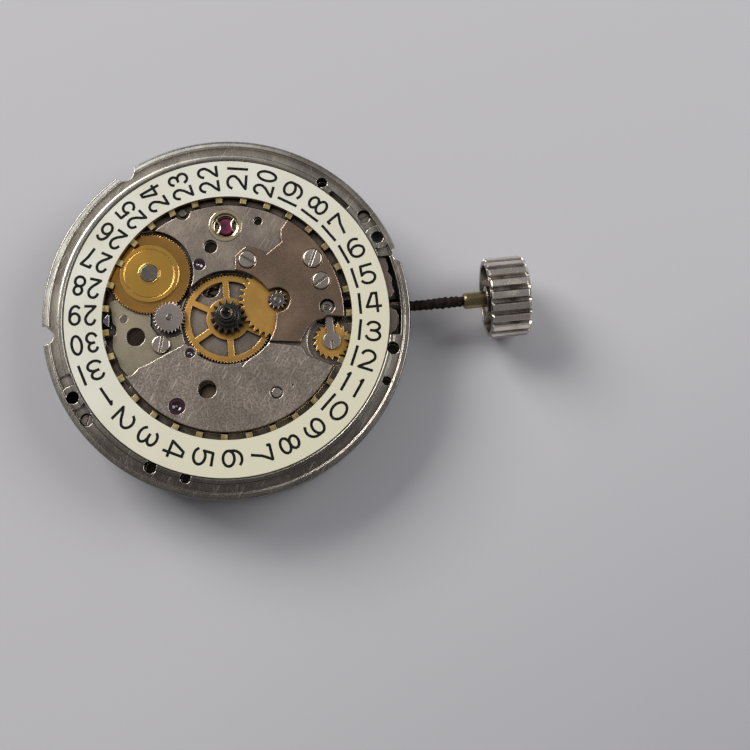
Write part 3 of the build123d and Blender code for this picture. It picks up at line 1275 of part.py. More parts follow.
def hairspring_face(grow):
    """Flat outline of the hairspring, or a wider one for the slot it passes."""
    inner, width = HAIRSPRING_INNER_R - grow, HAIRSPRING_T + 2 * grow
    return spiral_face(inner, HAIRSPRING_PITCH, HAIRSPRING_TURNS, width, BALANCE_AT, STUD_ANGLE)


def hairspring():
    """Flat spiral spring with its inner collet and outer stud end."""
    solid = lift(hairspring_face(0), hairspring_low, hairspring_top)
    collet_r = HAIRSPRING_INNER_R + HAIRSPRING_T
    collet = tube(collet_r, STAFF_R + SEAT_GAP, hairspring_low, hairspring_top, BALANCE_AT)
    return solid + collet


def stud_place():
    """Place where the outer end of the hairspring is held."""
    reach = HAIRSPRING_INNER_R + HAIRSPRING_TURNS * HAIRSPRING_PITCH + HAIRSPRING_T / 2
    return polar(reach, STUD_ANGLE, BALANCE_AT)


def stud_carrier():
    """Ring round the cock's shock setting, with the post that holds the hairspring."""
    inner = SHOCK_R + SEAT_GAP
    high = cock_low - REGULATOR_T - END_SHAKE
    low = high - STUD_RING_T
    place = stud_place()
    face = disc(inner + STUD_RING_W, BALANCE_AT)
    face += strip(BALANCE_AT, place, STUD_ARM_W)
    face -= disc(inner, BALANCE_AT)
    solid = lift(face, low, high) + bar(STUD_R, low, hairspring_top + AIR, place)
    return solid - lift(hairspring_face(SEAT_GAP), hairspring_low - AIR, hairspring_top + 2 * AIR)


def regulator():
    """Index that turns round the cock's shock setting and holds the hairspring between two pins."""
    inner = SHOCK_R + TURN_GAP
    high = cock_low - END_SHAKE / 2
    low = high - REGULATOR_T
    last_r = HAIRSPRING_INNER_R + (HAIRSPRING_TURNS - 1 / 2) * HAIRSPRING_PITCH + HAIRSPRING_T / 2
    share = math.cos(math.radians(STUD_ANGLE - CURB_ANGLE))
    curb_r = last_r + HAIRSPRING_PITCH / 2 * share
    face = disc(inner + REGULATOR_W, BALANCE_AT)
    face += strip(BALANCE_AT, polar(REGULATOR_L, REGULATOR_TURN, BALANCE_AT), REGULATOR_ARM_W)
    face += strip(BALANCE_AT, polar(curb_r, CURB_ANGLE, BALANCE_AT), REGULATOR_ARM_W)
    face -= disc(inner, BALANCE_AT)
    solid = lift(face, low, high)
    for side in (-1, 1):
        place = polar(curb_r + side * CURB_PIN_REACH, CURB_ANGLE, BALANCE_AT)
        solid += bar(CURB_PIN_R, low, hairspring_top, place)
    return solid


def shock_setting(low, high, at):
    """Gold ring of a shock setting, with a seat for its jewel."""
    body = tube(SHOCK_R, SHOCK_R - SHOCK_WALL_T, low, high, at)
    floor = tube(SHOCK_R, SHOCK_JEWEL_R + SEAT_GAP, low, low + SHOCK_JEWEL_T, at)
    return body + floor


def shock_settings():
    """The two gold settings, in the main plate and in the balance cock."""
    upper = shock_setting(shock_low, platform_z + AIR, BALANCE_AT)
    lower = tube(SHOCK_R, SHOCK_JEWEL_R + SEAT_GAP, cock_low - AIR, cock_top, BALANCE_AT)
    lower += tube(SHOCK_R, SHOCK_R - SHOCK_WALL_T, cock_low - COCK_SETTING_RISE, cock_low - AIR, BALANCE_AT)
    return Compound(children=[upper, lower])


def shock_jewels():
    """Pierced jewels and cap stones of both settings."""
    gap = SHOCK_JEWEL_T + AIR
    hole = STAFF_PIVOT_R + SEAT_GAP
    upper = tube(SHOCK_JEWEL_R, hole, shock_low, shock_low + SHOCK_JEWEL_T, BALANCE_AT)
    cap_low = shock_low + 2 * SHOCK_JEWEL_T + END_SHAKE
    upper_cap = bar(SHOCK_JEWEL_R, cap_low, shock_low + 2 * gap + AIR, BALANCE_AT)
    lower = tube(SHOCK_JEWEL_R, hole, cock_low + SHOCK_JEWEL_T, cock_low + 2 * SHOCK_JEWEL_T, BALANCE_AT)
    lower_cap = bar(SHOCK_JEWEL_R, cock_low - AIR, cock_low + SHOCK_JEWEL_T - END_SHAKE, BALANCE_AT)
    return Compound(children=[upper, upper_cap, lower, lower_cap])


def shock_springs():
    """Lyre springs that hold the cap stones."""
    springs = []
    outer = SHOCK_R - SHOCK_WALL_T - SEAT_GAP
    upper_z = shock_low + 2 * SHOCK_JEWEL_T + 3 * AIR + AIR
    for low in (upper_z, cock_low - AIR - SHOCK_SPRING_T - END_SHAKE):
        face = disc(outer, BALANCE_AT) - disc(outer - SHOCK_SPRING_W, BALANCE_AT)
        for side in (-1, 1):
            start = polar(outer - SHOCK_SPRING_W / 2, 90 + side * LYRE_SPREAD, BALANCE_AT)
            end = polar(SHOCK_JEWEL_R / 2, 270 + side * LYRE_SPREAD, BALANCE_AT)
            face += strip(start, end, SHOCK_SPRING_W)
        springs.append(lift(face & disc(outer, BALANCE_AT), low, low + SHOCK_SPRING_T))
    return Compound(children=springs)


def barrel_drum():
    """Toothed drum of the barrel, open towards the bridge."""
    gear = gear_face(BARREL_TEETH, BARREL_MODULE, barrel_turn, barrel_at)
    teeth = lift(gear, barrel_top - BARREL_TOOTH_T, barrel_top)
    drum = bar(BARREL_DRUM_R, barrel_low, barrel_top, barrel_at)
    inner = BARREL_DRUM_R - BARREL_WALL_T
    room = bar(inner, barrel_low - AIR, barrel_top - BARREL_FLOOR_T, barrel_at)
    return teeth + drum - room - bar(ARBOR_NECK_R + TURN_GAP, barrel_low - AIR, barrel_top + AIR, barrel_at)


def barrel_cover():
    """Thin lid snapped in the mouth of the drum."""
    inner = BARREL_DRUM_R - BARREL_WALL_T - SEAT_GAP
    return tube(inner, ARBOR_LOWER_R + TURN_GAP, barrel_low, barrel_low + BARREL_COVER_T, barrel_at)


def barrel_arbor():
    """Arbor that the ratchet wheel turns and the mainspring hooks on."""
    core_low = barrel_low + BARREL_COVER_T + END_SHAKE
    body = bar(ARBOR_CORE_R, core_low, barrel_top - BARREL_FLOOR_T - END_SHAKE, barrel_at)
    body += bar(ARBOR_NECK_R, barrel_low, drive_floor, barrel_at)
    body += bar(ARBOR_UPPER_R, barrel_low, lower_plate_top - CHAMFER, barrel_at)
    body += bar(ARBOR_LOWER_R, bridge_low, barrel_low + BARREL_COVER_T + AIR, barrel_at)
    body += square(ARBOR_SQUARE_W, ratchet_low, bridge_low, barrel_at)
    thread_end = ratchet_low + WINDING_THREAD_L + AIR
    return body - bar(WINDING_THREAD_R + SEAT_GAP, ratchet_low, thread_end, barrel_at)


def mainspring():
    """Coiled mainspring in the drum."""
    inner = ARBOR_CORE_R + 2 * AIR
    outer = BARREL_DRUM_R - BARREL_WALL_T - 2 * AIR - MAINSPRING_T
    pitch = (outer - inner) / MAINSPRING_TURNS
    face = spiral_face(inner, pitch, MAINSPRING_TURNS, MAINSPRING_T, barrel_at)
    low = barrel_low + BARREL_COVER_T + AIR
    return lift(face, low, barrel_top - BARREL_FLOOR_T - AIR)


def ratchet_wheel():
    """Steel wheel on the barrel arbor's square."""
    face = gear_face(RATCHET_TEETH, WIND_MODULE, ratchet_turn, barrel_at)
    solid = lift(face, ratchet_low, ratchet_top)
    return solid - square(ARBOR_SQUARE_W + 2 * SEAT_GAP, ratchet_low - AIR, ratchet_top + AIR, barrel_at)


def ratchet_screw():
    """Broad flat screw that holds the ratchet wheel on the arbor."""
    head_low = ratchet_low - WINDING_SCREW_T
    head = bar(2 * ARBOR_LOWER_R, head_low, ratchet_low, barrel_at)
    head = chamfer(head.edges().filter_by(GeomType.CIRCLE).group_by(Axis.Z)[0], CHAMFER)
    head += bar(WINDING_THREAD_R, head_low, ratchet_low + WINDING_THREAD_L, barrel_at)
    slot = Box(4 * ARBOR_LOWER_R + AIR, 2 * SCREW_SLOT_W, 2 * SCREW_SLOT_DEPTH)
    return head - Pos(barrel_at[0], barrel_at[1], head_low) * Rot(0, 0, WINDING_SCREW_TURN) * slot


def transfer_wheel():
    """Steel wheel outside the bridge that turns the ratchet wheel."""
    face = gear_face(TRANSFER_TEETH, WIND_MODULE, transfer_turn, crown_wheel_at)
    solid = lift(face, ratchet_low, ratchet_top)
    hole_w = ARBOR_SQUARE_W + 2 * SEAT_GAP
    return solid - square(hole_w, ratchet_low - AIR, ratchet_top + AIR, crown_wheel_at)


def crown_wheel():
    """Wheel with standing teeth that the winding pinion turns, on an arbor through the bridge."""
    at = crown_wheel_at
    outer = CROWN_WHEEL_PITCH_R + CROWN_WHEEL_FACE_W / 2
    inner = CROWN_WHEEL_PITCH_R - CROWN_WHEEL_FACE_W / 2
    solid = bar(outer, crown_wheel_low, crown_wheel_top, at)
    width = math.pi * crown_wheel_module / 2 * TIP_RATIO * TIP_RATIO
    for index in range(CROWN_WHEEL_TEETH):
        turn = (index + 1 / 2) * 360 / CROWN_WHEEL_TEETH
        place = polar((outer + inner) / 2, turn, at)
        upright = (Align.CENTER, Align.CENTER, Align.MIN)
        tooth = Box(CROWN_WHEEL_FACE_W * TIP_RATIO, width, CROWN_WHEEL_TOOTH_H, align=upright)
        solid += Pos(place[0], place[1], crown_wheel_top - SEAT_GAP) * Rot(0, 0, turn) * tooth
    solid += bar(CROWN_WHEEL_ARBOR_R, bridge_low, crown_wheel_low, at)
    solid += square(ARBOR_SQUARE_W, ratchet_low, bridge_low, at)
    return solid + bar(ARBOR_SQUARE_W * 4 / 5, ratchet_low - WINDING_SCREW_T, ratchet_low, at)


def click_spring():
    """One-piece click: a foot, a thin arm and a beak in a gap of the ratchet wheel."""
    tip = polar(ratchet_pitch_r + CLICK_BEAK_W / 2, click_angle, barrel_at)
    heel = polar(CLICK_REACH, click_angle, tip)
    foot = click_foot()
    face = strip(foot, heel, CLICK_ARM_W) + strip(heel, tip, CLICK_BEAK_W)
    face += disc(CLICK_FOOT_R, foot)
    solid = lift(face, ratchet_low, ratchet_top)
    return solid - bar(SCREW_SHANK_R + SEAT_GAP, ratchet_low - AIR, ratchet_top + AIR, foot)


def click_foot():
    """Place of the click's screw."""
    return polar(ratchet_pitch_r + CLICK_REACH, click_angle + CLICK_SPREAD, barrel_at)


def barrel_bridge():
    """Bridge over the barrel and the crown wheel."""
    reach = 2 * BRIDGE_EDGE_R
    side = outline([
        (BRIDGE_SPLIT_X, BRIDGE_SPLIT_Y), (reach, BRIDGE_SPLIT_Y), (reach, -reach),
        (BRIDGE_SPLIT_LOW_X, -reach), (BRIDGE_SPLIT_LOW_X, barrel_at[1] - BRIDGE_SPLIT_R / 2),
        (barrel_at[0] - BRIDGE_SPLIT_R / 2, barrel_at[1]),
    ])
    face = (side + disc(BRIDGE_SPLIT_R, barrel_at)) & disc(BRIDGE_EDGE_R)
    solid = eased(lift(face, bridge_low, bridge_top), CHAMFER, top=False)
    low, high = bridge_low - OVERRUN, bridge_top + OVERRUN
    solid -= bar(ARBOR_LOWER_R + TURN_GAP, low, high, barrel_at)
    solid -= bar(CROWN_WHEEL_ARBOR_R + TURN_GAP, low, high, crown_wheel_at)
    solid -= bar(CROWN_WHEEL_RECESS_R, crown_recess_z, high, crown_wheel_at)
    half = CLUTCH_WINDOW_W / 2
    way = (WINDING_PINION_X - 4 * AIR, CLUTCH_WINDOW[1])
    solid -= box_between(way, (-half, half), (crown_recess_z, high))
    solid -= bar(SCREW_SHANK_R + SEAT_GAP, low, high, click_foot())
    return counterbored(solid, BARREL_BRIDGE_SCREWS)


def counterbored(solid, places, radius=BRIDGE_SCREW_R, low=None):
    """Cuts a stepped hole for each screw of a bridge."""
    face_z = bridge_low if low is None else low
    for place in places:
        solid -= bar(SCREW_SHANK_R + SEAT_GAP, face_z - OVERRUN, bridge_top + OVERRUN, place)
        solid -= bar(radius + AIR, face_z - OVERRUN, face_z + BRIDGE_SCREW_T, place)
    return solid


def train_bridge():
    """Bridge that carries the lower pivots of the train."""
    reach = 2 * BRIDGE_EDGE_R
    side = outline([
        (TRAIN_SPLIT_X, -reach), (-reach, -reach), (-reach, TRAIN_SPLIT_TOP_Y),
        (-TRAIN_SPLIT_STEP, TRAIN_SPLIT_TOP_Y), (TRAIN_SPLIT_X, TRAIN_SPLIT_Y),
    ])
    face = side & disc(BRIDGE_EDGE_R)
    face -= disc(BRIDGE_SPLIT_R + BRIDGE_SPLIT_GAP, barrel_at)
    face -= disc(BALANCE_WELL_R, BALANCE_AT)
    edge_x = BRIDGE_SPLIT_LOW_X - BRIDGE_SPLIT_GAP
    corner = (edge_x, barrel_at[1] - BRIDGE_SPLIT_R / 2)
    face -= outline([barrel_at, corner, (edge_x, -reach), (reach, -reach)])
    solid = eased(lift(face, bridge_low, bridge_top), CHAMFER, top=False)
    low, high = bridge_low - OVERRUN, bridge_top + OVERRUN
    for place in (second_at, third_at, CENTRE, escape_at):
        solid -= bar(TRAIN_JEWEL_R + SEAT_GAP, low, high, place)
    return counterbored(solid, TRAIN_BRIDGE_SCREWS + [PILLAR_AT])


def bridge_jewels():
    """Jewels set in the train bridge."""
    stones = []
    for place in (second_at, third_at, CENTRE, escape_at):
        stone = tube(TRAIN_JEWEL_R, PIVOT_R + SEAT_GAP, bridge_low + AIR, bridge_top, place)
        stones.append(stone - Pos(place[0], place[1], bridge_low + AIR) * Sphere(TRAIN_JEWEL_R / 3))
    return Compound(children=stones)


def balance_cock():
    """Cock that carries the lower pivot of the balance."""
    arm = strip(BALANCE_AT, COCK_FOOT_AT, COCK_ARM_W)
    solid = lift(arm & disc(BRIDGE_EDGE_R), cock_low, cock_top)
    foot = disc(COCK_FOOT_R + 3 * AIR, COCK_FOOT_AT) & disc(BRIDGE_EDGE_R)
    solid += lift(foot, cock_low, bridge_top)
    solid = eased(solid, CHAMFER, top=False)
    solid -= bar(SHOCK_R + SEAT_GAP, cock_low - OVERRUN, cock_top + OVERRUN, BALANCE_AT)
    return counterbored(solid, [COCK_FOOT_AT], COCK_SCREW_R, cock_low)


def bridge_screws():
    """Slotted screws of the bridges, the cock and the click."""
    screws = []
    head_low = bridge_low + BRIDGE_SCREW_T
    turn = 15
    for place in BARREL_BRIDGE_SCREWS + TRAIN_BRIDGE_SCREWS + [PILLAR_AT]:
        end = bridge_low + BRIDGE_SCREW_GRIP
        sizes = (BRIDGE_SCREW_R, head_low, BRIDGE_SCREW_T, SCREW_SHANK_R, end, turn)
        screws.append(screw(place, *sizes, flip=True))
        turn += 47
    end = bridge_low + BRIDGE_SCREW_GRIP
    cock_head = cock_low + BRIDGE_SCREW_T
    sizes = (COCK_SCREW_R, cock_head, BRIDGE_SCREW_T, SCREW_SHANK_R, end, COCK_SCREW_TURN)
    screws.append(screw(COCK_FOOT_AT, *sizes, flip=True))
    sizes = (BRIDGE_SCREW_R, ratchet_low, BRIDGE_SCREW_T, SCREW_SHANK_R, bridge_top, CLICK_SCREW_TURN)
    screws.append(screw(click_foot(), *sizes, flip=True))
    return Compound(children=screws)


def winding_stem():
    """Stem with its pivot, square, seat, groove and threaded outer end."""
    stem = along_x(STEM_PIVOT_R, STEM_TIP_X, STEM_SQUARE_X)
    middle = (STEM_SQUARE_X + STEM_SEAT_X) / 2
    stem += Pos(middle, 0, STEM_Z) * Box(STEM_SEAT_X - STEM_SQUARE_X, STEM_SQUARE_W, STEM_SQUARE_W)
    stem += along_x(STEM_SEAT_R, STEM_SEAT_X, STEM_GROOVE_X)
    stem += along_x(STEM_GROOVE_R, STEM_GROOVE_X, STEM_GROOVE_X + STEM_GROOVE_W)
    stem += along_x(STEM_BEARING_R, STEM_GROOVE_X + STEM_GROOVE_W, stem_wall_x)
    return stem + along_x(STEM_THREAD_R, stem_wall_x, crown_x + CROWN_L / 2)


def crown_tube():
    """Brass sleeve between the stem and the crown."""
    sleeve = along_x(TUBE_R, tube_x, crown_x + TUBE_DEPTH)
    return sleeve - along_x(STEM_THREAD_R + SEAT_GAP, tube_x - AIR, crown_x + CROWN_L)


def crown():
    """Fluted crown, hollow on its inner face."""
    place = Plane(origin=(crown_x, 0, STEM_Z), x_dir=(0, 1, 0), z_dir=(1, 0, 0))
    face = Circle(CROWN_R)
    for index in range(CROWN_FLUTES):
        centre = polar(CROWN_R + CROWN_FLUTE_R / 4, index * 360 / CROWN_FLUTES)
        face -= Pos(*centre) * Circle(CROWN_FLUTE_R)
    solid = place * extrude(face, CROWN_L, dir=(0, 0, 1))
    end = crown_x + CROWN_L
    profile = [
        (crown_x, 0, 0), (crown_x, CROWN_R - CROWN_EDGE, 0), (crown_x + CROWN_EDGE, CROWN_R, 0),
        (end - CROWN_EDGE, CROWN_R, 0), (end, CROWN_R - CROWN_EDGE, 0), (end, 0, 0),
    ]
    barrel = Pos(0, 0, STEM_Z) * revolve(make_face(Polyline(*profile, close=True)), Axis.X)
    solid = solid & barrel
    room = along_x(CROWN_HOLLOW_R, crown_x - AIR, crown_x + CROWN_HOLLOW_DEPTH)
    room -= along_x(CROWN_BOSS_R, crown_x - OVERRUN, end)
    solid -= room
    solid -= along_x(TUBE_R + SEAT_GAP, crown_x - AIR, crown_x + TUBE_DEPTH + SEAT_GAP)
    return solid - along_x(STEM_THREAD_R + SEAT_GAP, crown_x, crown_x + CROWN_L / 2 + SEAT_GAP)


def ratchet_face_teeth(start, towards, radius, hole):
    """Standing saw teeth on a round face, between the two clutch pinions."""
    teeth = []
    step = 360 / CLUTCH_TEETH
    width = radius - hole
    for index in range(CLUTCH_TEETH):
        angle = index * step
        place = polar((radius + hole) / 2, angle)
        block = Box(CLUTCH_TOOTH_H, width * TIP_RATIO, radius * math.radians(step) / 3)
        middle = Pos(start + towards * CLUTCH_TOOTH_H / 2, place[0], STEM_Z + place[1])
        teeth.append(middle * Rot(angle, 0, 0) * block)
    return teeth


def winding_pinion():
    """Pinion that turns the crown wheel when the crown is wound."""
    place = Plane(origin=(WINDING_PINION_X, 0, STEM_Z), x_dir=(0, 1, 0), z_dir=(1, 0, 0))
    face = gear_face(WINDING_PINION_TEETH, crown_wheel_module, 90)
    solid = place * extrude(face, WINDING_PINION_L, dir=(0, 0, 1))
    return solid - along_x(STEM_SEAT_R + TURN_GAP, WINDING_PINION_X - OVERRUN, STEM_SHOULDER_X + OVERRUN)


def sliding_pinion():
    """Clutch pinion on the stem's square, with a groove for the yoke."""
    end = WINDING_PINION_X - CLUTCH_TOOTH_H - END_SHAKE
    solid = along_x(CLUTCH_R, CLUTCH_X + CLUTCH_TOOTH_H, end)
    solid -= along_x(CLUTCH_R + AIR, CLUTCH_NECK_X, CLUTCH_NECK_X + CLUTCH_NECK_W) - along_x(
        CLUTCH_NECK_R, CLUTCH_NECK_X - AIR, CLUTCH_NECK_X + CLUTCH_NECK_W + AIR)
    hole = STEM_SQUARE_W + 2 * TURN_GAP
    for tooth in ratchet_face_teeth(end - SEAT_GAP, 1, CLUTCH_R, hole):
        solid += tooth
    for tooth in ratchet_face_teeth(CLUTCH_X + CLUTCH_TOOTH_H + SEAT_GAP, -1, CLUTCH_R, hole):
        solid += tooth
    middle = (CLUTCH_X + WINDING_PINION_X) / 2
    return solid - Pos(middle, 0, STEM_Z) * Box(WINDING_PINION_X - CLUTCH_X + OVERRUN, hole, hole)


def setting_lever():
    """Lever whose pin runs in the stem's groove."""
    pin_at = (STEM_GROOVE_X + STEM_GROOVE_W / 2, 0.0)
    face = strip(SETTING_LEVER_AT, pin_at, LEVER_W * 3 / 4) + disc(LEVER_W / 2 + AIR, SETTING_LEVER_AT)
    solid = lift(face, lever_low, lever_top)
    pin_low = STEM_Z + STEM_GROOVE_R + END_SHAKE
    solid += bar(LEVER_PIN_R, pin_low, lever_low, pin_at)
    return solid - bar(SMALL_STUD_R + TURN_GAP, lever_low - AIR, lever_top + AIR, SETTING_LEVER_AT)


def yoke():
    """Yoke whose tongue runs in the groove of the sliding pinion."""
    tongue_at = (CLUTCH_NECK_X + CLUTCH_NECK_W / 2, 0.0)
    face = strip(YOKE_AT, tongue_at, LEVER_W / 2) + disc(LEVER_W / 2 + AIR, YOKE_AT)
    solid = lift(face, lever_low, lever_top)
    low = STEM_Z + CLUTCH_NECK_R + END_SHAKE
    solid += bar(LEVER_PIN_R, low, lever_low, tongue_at)
    return solid - bar(SMALL_STUD_R + TURN_GAP, lever_low - AIR, lever_top + AIR, YOKE_AT)


NODES = {
    "main_plate": main_plate,
    "lower_plate": lower_plate,
    "guard_plate": guard_plate,
    "date_jumper_plate": date_jumper_plate,
    "date_jumper": date_jumper,
    "date_ring": date_ring,
    "date_driving_wheel": date_driving_wheel,
    "date_idler_wheel": date_idler,
    "corrector_wheel": corrector_wheel,
    "corrector_rocker": corrector_rocker,
    "cannon_pinion": cannon_pinion,
    "driving_wheel": driving_wheel,
    "centre_tube": centre_tube,
    "minute_wheel": minute_wheel,
    "minute_pinion": minute_pinion,
    "setting_wheel": setting_wheel,
    "dial_side_studs": dial_side_studs,
    "dial_side_screws": dial_side_screws,
    "dial_foot_screws": dial_foot_screws,
    "dial_side_jewels": dial_side_jewels,
    "bridge_jewels": bridge_jewels,
    "shock_settings": shock_settings,
    "shock_jewels": shock_jewels,
    "shock_springs": shock_springs,
    "second_wheel": second_wheel,
    "third_wheel": third_wheel,
    "fourth_wheel": fourth_wheel,
    "escape_wheel": escape_wheel,
    "pallet_fork": pallet_fork,
    "pallet_stones": pallet_stones,
    "pallet_cock": pallet_cock,
    "balance_wheel": balance_wheel,
    "balance_staff": balance_staff,
    "roller": roller,
    "hairspring": hairspring,
    "stud_carrier": stud_carrier,
    "regulator": regulator,
    "balance_cock": balance_cock,
    "train_bridge": train_bridge,
    "barrel_bridge": barrel_bridge,
    "bridge_screws": bridge_screws,
    "barrel_drum": barrel_drum,
    "barrel_cover": barrel_cover,
    "barrel_arbor": barrel_arbor,
    "mainspring": mainspring,
    "ratchet_wheel": ratchet_wheel,
    "ratchet_screw": ratchet_screw,
    "crown_wheel": crown_wheel,
    "transfer_wheel": transfer_wheel,
    "click_spring": click_spring,
    "winding_stem": winding_stem,
    "crown_tube": crown_tube,
    "crown": crown,
    "winding_pinion": winding_pinion,
    "sliding_pinion": sliding_pinion,
    "setting_lever": setting_lever,
    "yoke": yoke,
}


def main():
    """Writes one STEP file for each node."""
    os.makedirs("parts", exist_ok=True)
    for name, build in NODES.items():
        export_step(build(), f"parts/{name}.step")


if __name__ == "__main__":
    main()
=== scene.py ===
"""Looks of a mechanical watch movement with a date ring, seen from its dial side.

Everything is in metres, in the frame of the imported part: the origin is on the hands' axis in
the plane of the dial seat, +Z points out of the dial side, +X towards the winding crown and +Y
towards 12 o'clock. The classes hold their sizes in millimetres.
"""

from __future__ import annotations

import json
import logging
import math
from dataclasses import dataclass, field
from enum import Enum
from functools import partial

import bmesh
import bpy
from mathutils import Euler, Matrix, Vector
from mathutils.geometry import delaunay_2d_cdt


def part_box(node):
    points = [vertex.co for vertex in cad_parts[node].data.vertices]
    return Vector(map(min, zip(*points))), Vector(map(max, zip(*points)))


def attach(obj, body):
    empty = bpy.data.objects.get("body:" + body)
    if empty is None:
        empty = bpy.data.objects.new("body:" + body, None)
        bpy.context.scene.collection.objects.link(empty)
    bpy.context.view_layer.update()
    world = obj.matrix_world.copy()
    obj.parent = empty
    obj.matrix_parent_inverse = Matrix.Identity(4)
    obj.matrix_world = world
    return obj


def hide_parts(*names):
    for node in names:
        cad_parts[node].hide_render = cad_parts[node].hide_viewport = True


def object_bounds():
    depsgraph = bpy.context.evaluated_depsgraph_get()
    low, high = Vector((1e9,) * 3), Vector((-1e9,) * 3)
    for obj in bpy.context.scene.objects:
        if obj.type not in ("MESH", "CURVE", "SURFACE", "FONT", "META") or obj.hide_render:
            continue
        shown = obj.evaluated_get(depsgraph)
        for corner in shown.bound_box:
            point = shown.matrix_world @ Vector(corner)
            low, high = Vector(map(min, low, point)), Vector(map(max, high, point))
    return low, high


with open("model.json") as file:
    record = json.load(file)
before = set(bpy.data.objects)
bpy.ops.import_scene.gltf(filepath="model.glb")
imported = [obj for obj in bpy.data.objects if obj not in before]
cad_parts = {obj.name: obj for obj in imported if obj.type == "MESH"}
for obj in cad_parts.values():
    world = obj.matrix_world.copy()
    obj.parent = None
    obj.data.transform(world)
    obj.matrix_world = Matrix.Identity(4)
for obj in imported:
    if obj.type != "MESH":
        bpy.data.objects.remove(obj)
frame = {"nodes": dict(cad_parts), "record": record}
cad_low, cad_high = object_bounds()

MM = 0.001

Colour = tuple[float, float, float]
Point = tuple[float, float]
# A place, then a size and a turn, which the points of a recipe carry under these names.
Spot = tuple[tuple[float, float, float], float, float]
SPOT_VALUES = ("size", "turn")

HANDS_AXIS: Point = (0.0, 0.0)
STEM_HEIGHT = -2.5
# Turns a form's +Z to +X, in degrees.
ALONG_STEM = (0.0, 90.0, 0.0)
# Points nearer than this, in metres, are one point.
SEAM = 1e-7
# Factor, first and second colour of a Mix node, and its mixed colour.
MIX_COLOUR_INPUTS = (0, 6, 7)
MIX_COLOUR_OUTPUT = 2
# Asks the triangulation for the triangles inside the outlines.
INSIDE_OUTLINES = 1

log = logging.getLogger("movement")


class Grain(Enum):
    """How a metal surface was worked."""

    SATIN = "satin"
    STRAIGHT = "straight"
    TURNED = "turned"
    SCRATCHED = "scratched"


class Fade(Enum):
    """How one value runs into another."""

    EVEN = "LINEAR"
    SOFT = "SMOOTHSTEP"


class Tree:
    """A node tree that is written one node at a time."""

    def __init__(self, nodes_of: bpy.types.NodeTree) -> None:
        """Empties the node tree of a material, world or modifier."""
        self.tree = nodes_of
        self.tree.nodes.clear()

    def add(self, kind: str, settings: dict | None = None, **inputs: object) -> bpy.types.Node:
        """Adds a node, sets its properties and fills or links its inputs.

        Args:
            kind: the node's type name.
            settings: node properties by name.
            **inputs: values or sockets by input name, with _ for a space.

        Returns:
            The new node.
        """
        node = self.tree.nodes.new(kind)
        for key, value in (settings or {}).items():
            setattr(node, key, value)
        self.fill_all(node, inputs)
        return node

    def fill_all(self, node: bpy.types.Node, inputs: dict[str, object]) -> None:
        """Fills or links a node's inputs by their names, with _ for a space."""
        for key, value in inputs.items():
            self.fill(node.inputs[key.replace("_", " ")], value)

    def fill(self, socket: bpy.types.NodeSocket, value: object) -> None:
        """Links a socket to an output, or sets its value.

        Args:
            socket: the input socket.
            value: an output socket, a number, a vector or a colour.
        """
        if isinstance(value, bpy.types.NodeSocket):
            self.tree.links.new(value, socket)
        elif isinstance(value, tuple) and len(value) == 3 and socket.type == "RGBA":
            socket.default_value = (*value, 1.0)
        else:
            socket.default_value = value

    def math(self, operation: str, *values: object) -> bpy.types.NodeSocket:
        """Adds a maths node.

        Args:
            operation: the operation's name.
            *values: numbers or sockets, in order.

        Returns:
            The node's output.
        """
        node = self.tree.nodes.new("ShaderNodeMath")
        node.operation = operation
        for socket, value in zip(node.inputs, values):
            self.fill(socket, value)
        return node.outputs[0]

    def dot(self, first: object, second: object) -> bpy.types.NodeSocket:
        """Multiplies two directions.

        Args:
            first: a vector or socket.
            second: a vector or socket.

        Returns:
            Their dot product.
        """
        node = self.add("ShaderNodeVectorMath", {"operation": "DOT_PRODUCT"})
        self.fill(node.inputs[0], first)
        self.fill(node.inputs[1], second)
        return node.outputs["Value"]

    def span(
        self,
        value: object,
        low: float,
        high: float,
        to_low: float = 0.0,
        to_high: float = 1.0,
        fade: Fade = Fade.EVEN,
    ) -> bpy.types.NodeSocket:
        """Maps a range of values onto another, clamped.

        Args:
            value: the socket to map.
            low: start of the range.
            high: end of the range.
            to_low: what low becomes.
            to_high: what high becomes.
            fade: how it runs from one to the other.

        Returns:
            The mapped value.
        """
        node = self.add("ShaderNodeMapRange", {"interpolation_type": fade.value}, Value=value)
        keys = ("From Min", "From Max", "To Min", "To Max")
        for key, number in zip(keys, (low, high, to_low, to_high)):
            node.inputs[key].default_value = number
        return node.outputs[0]


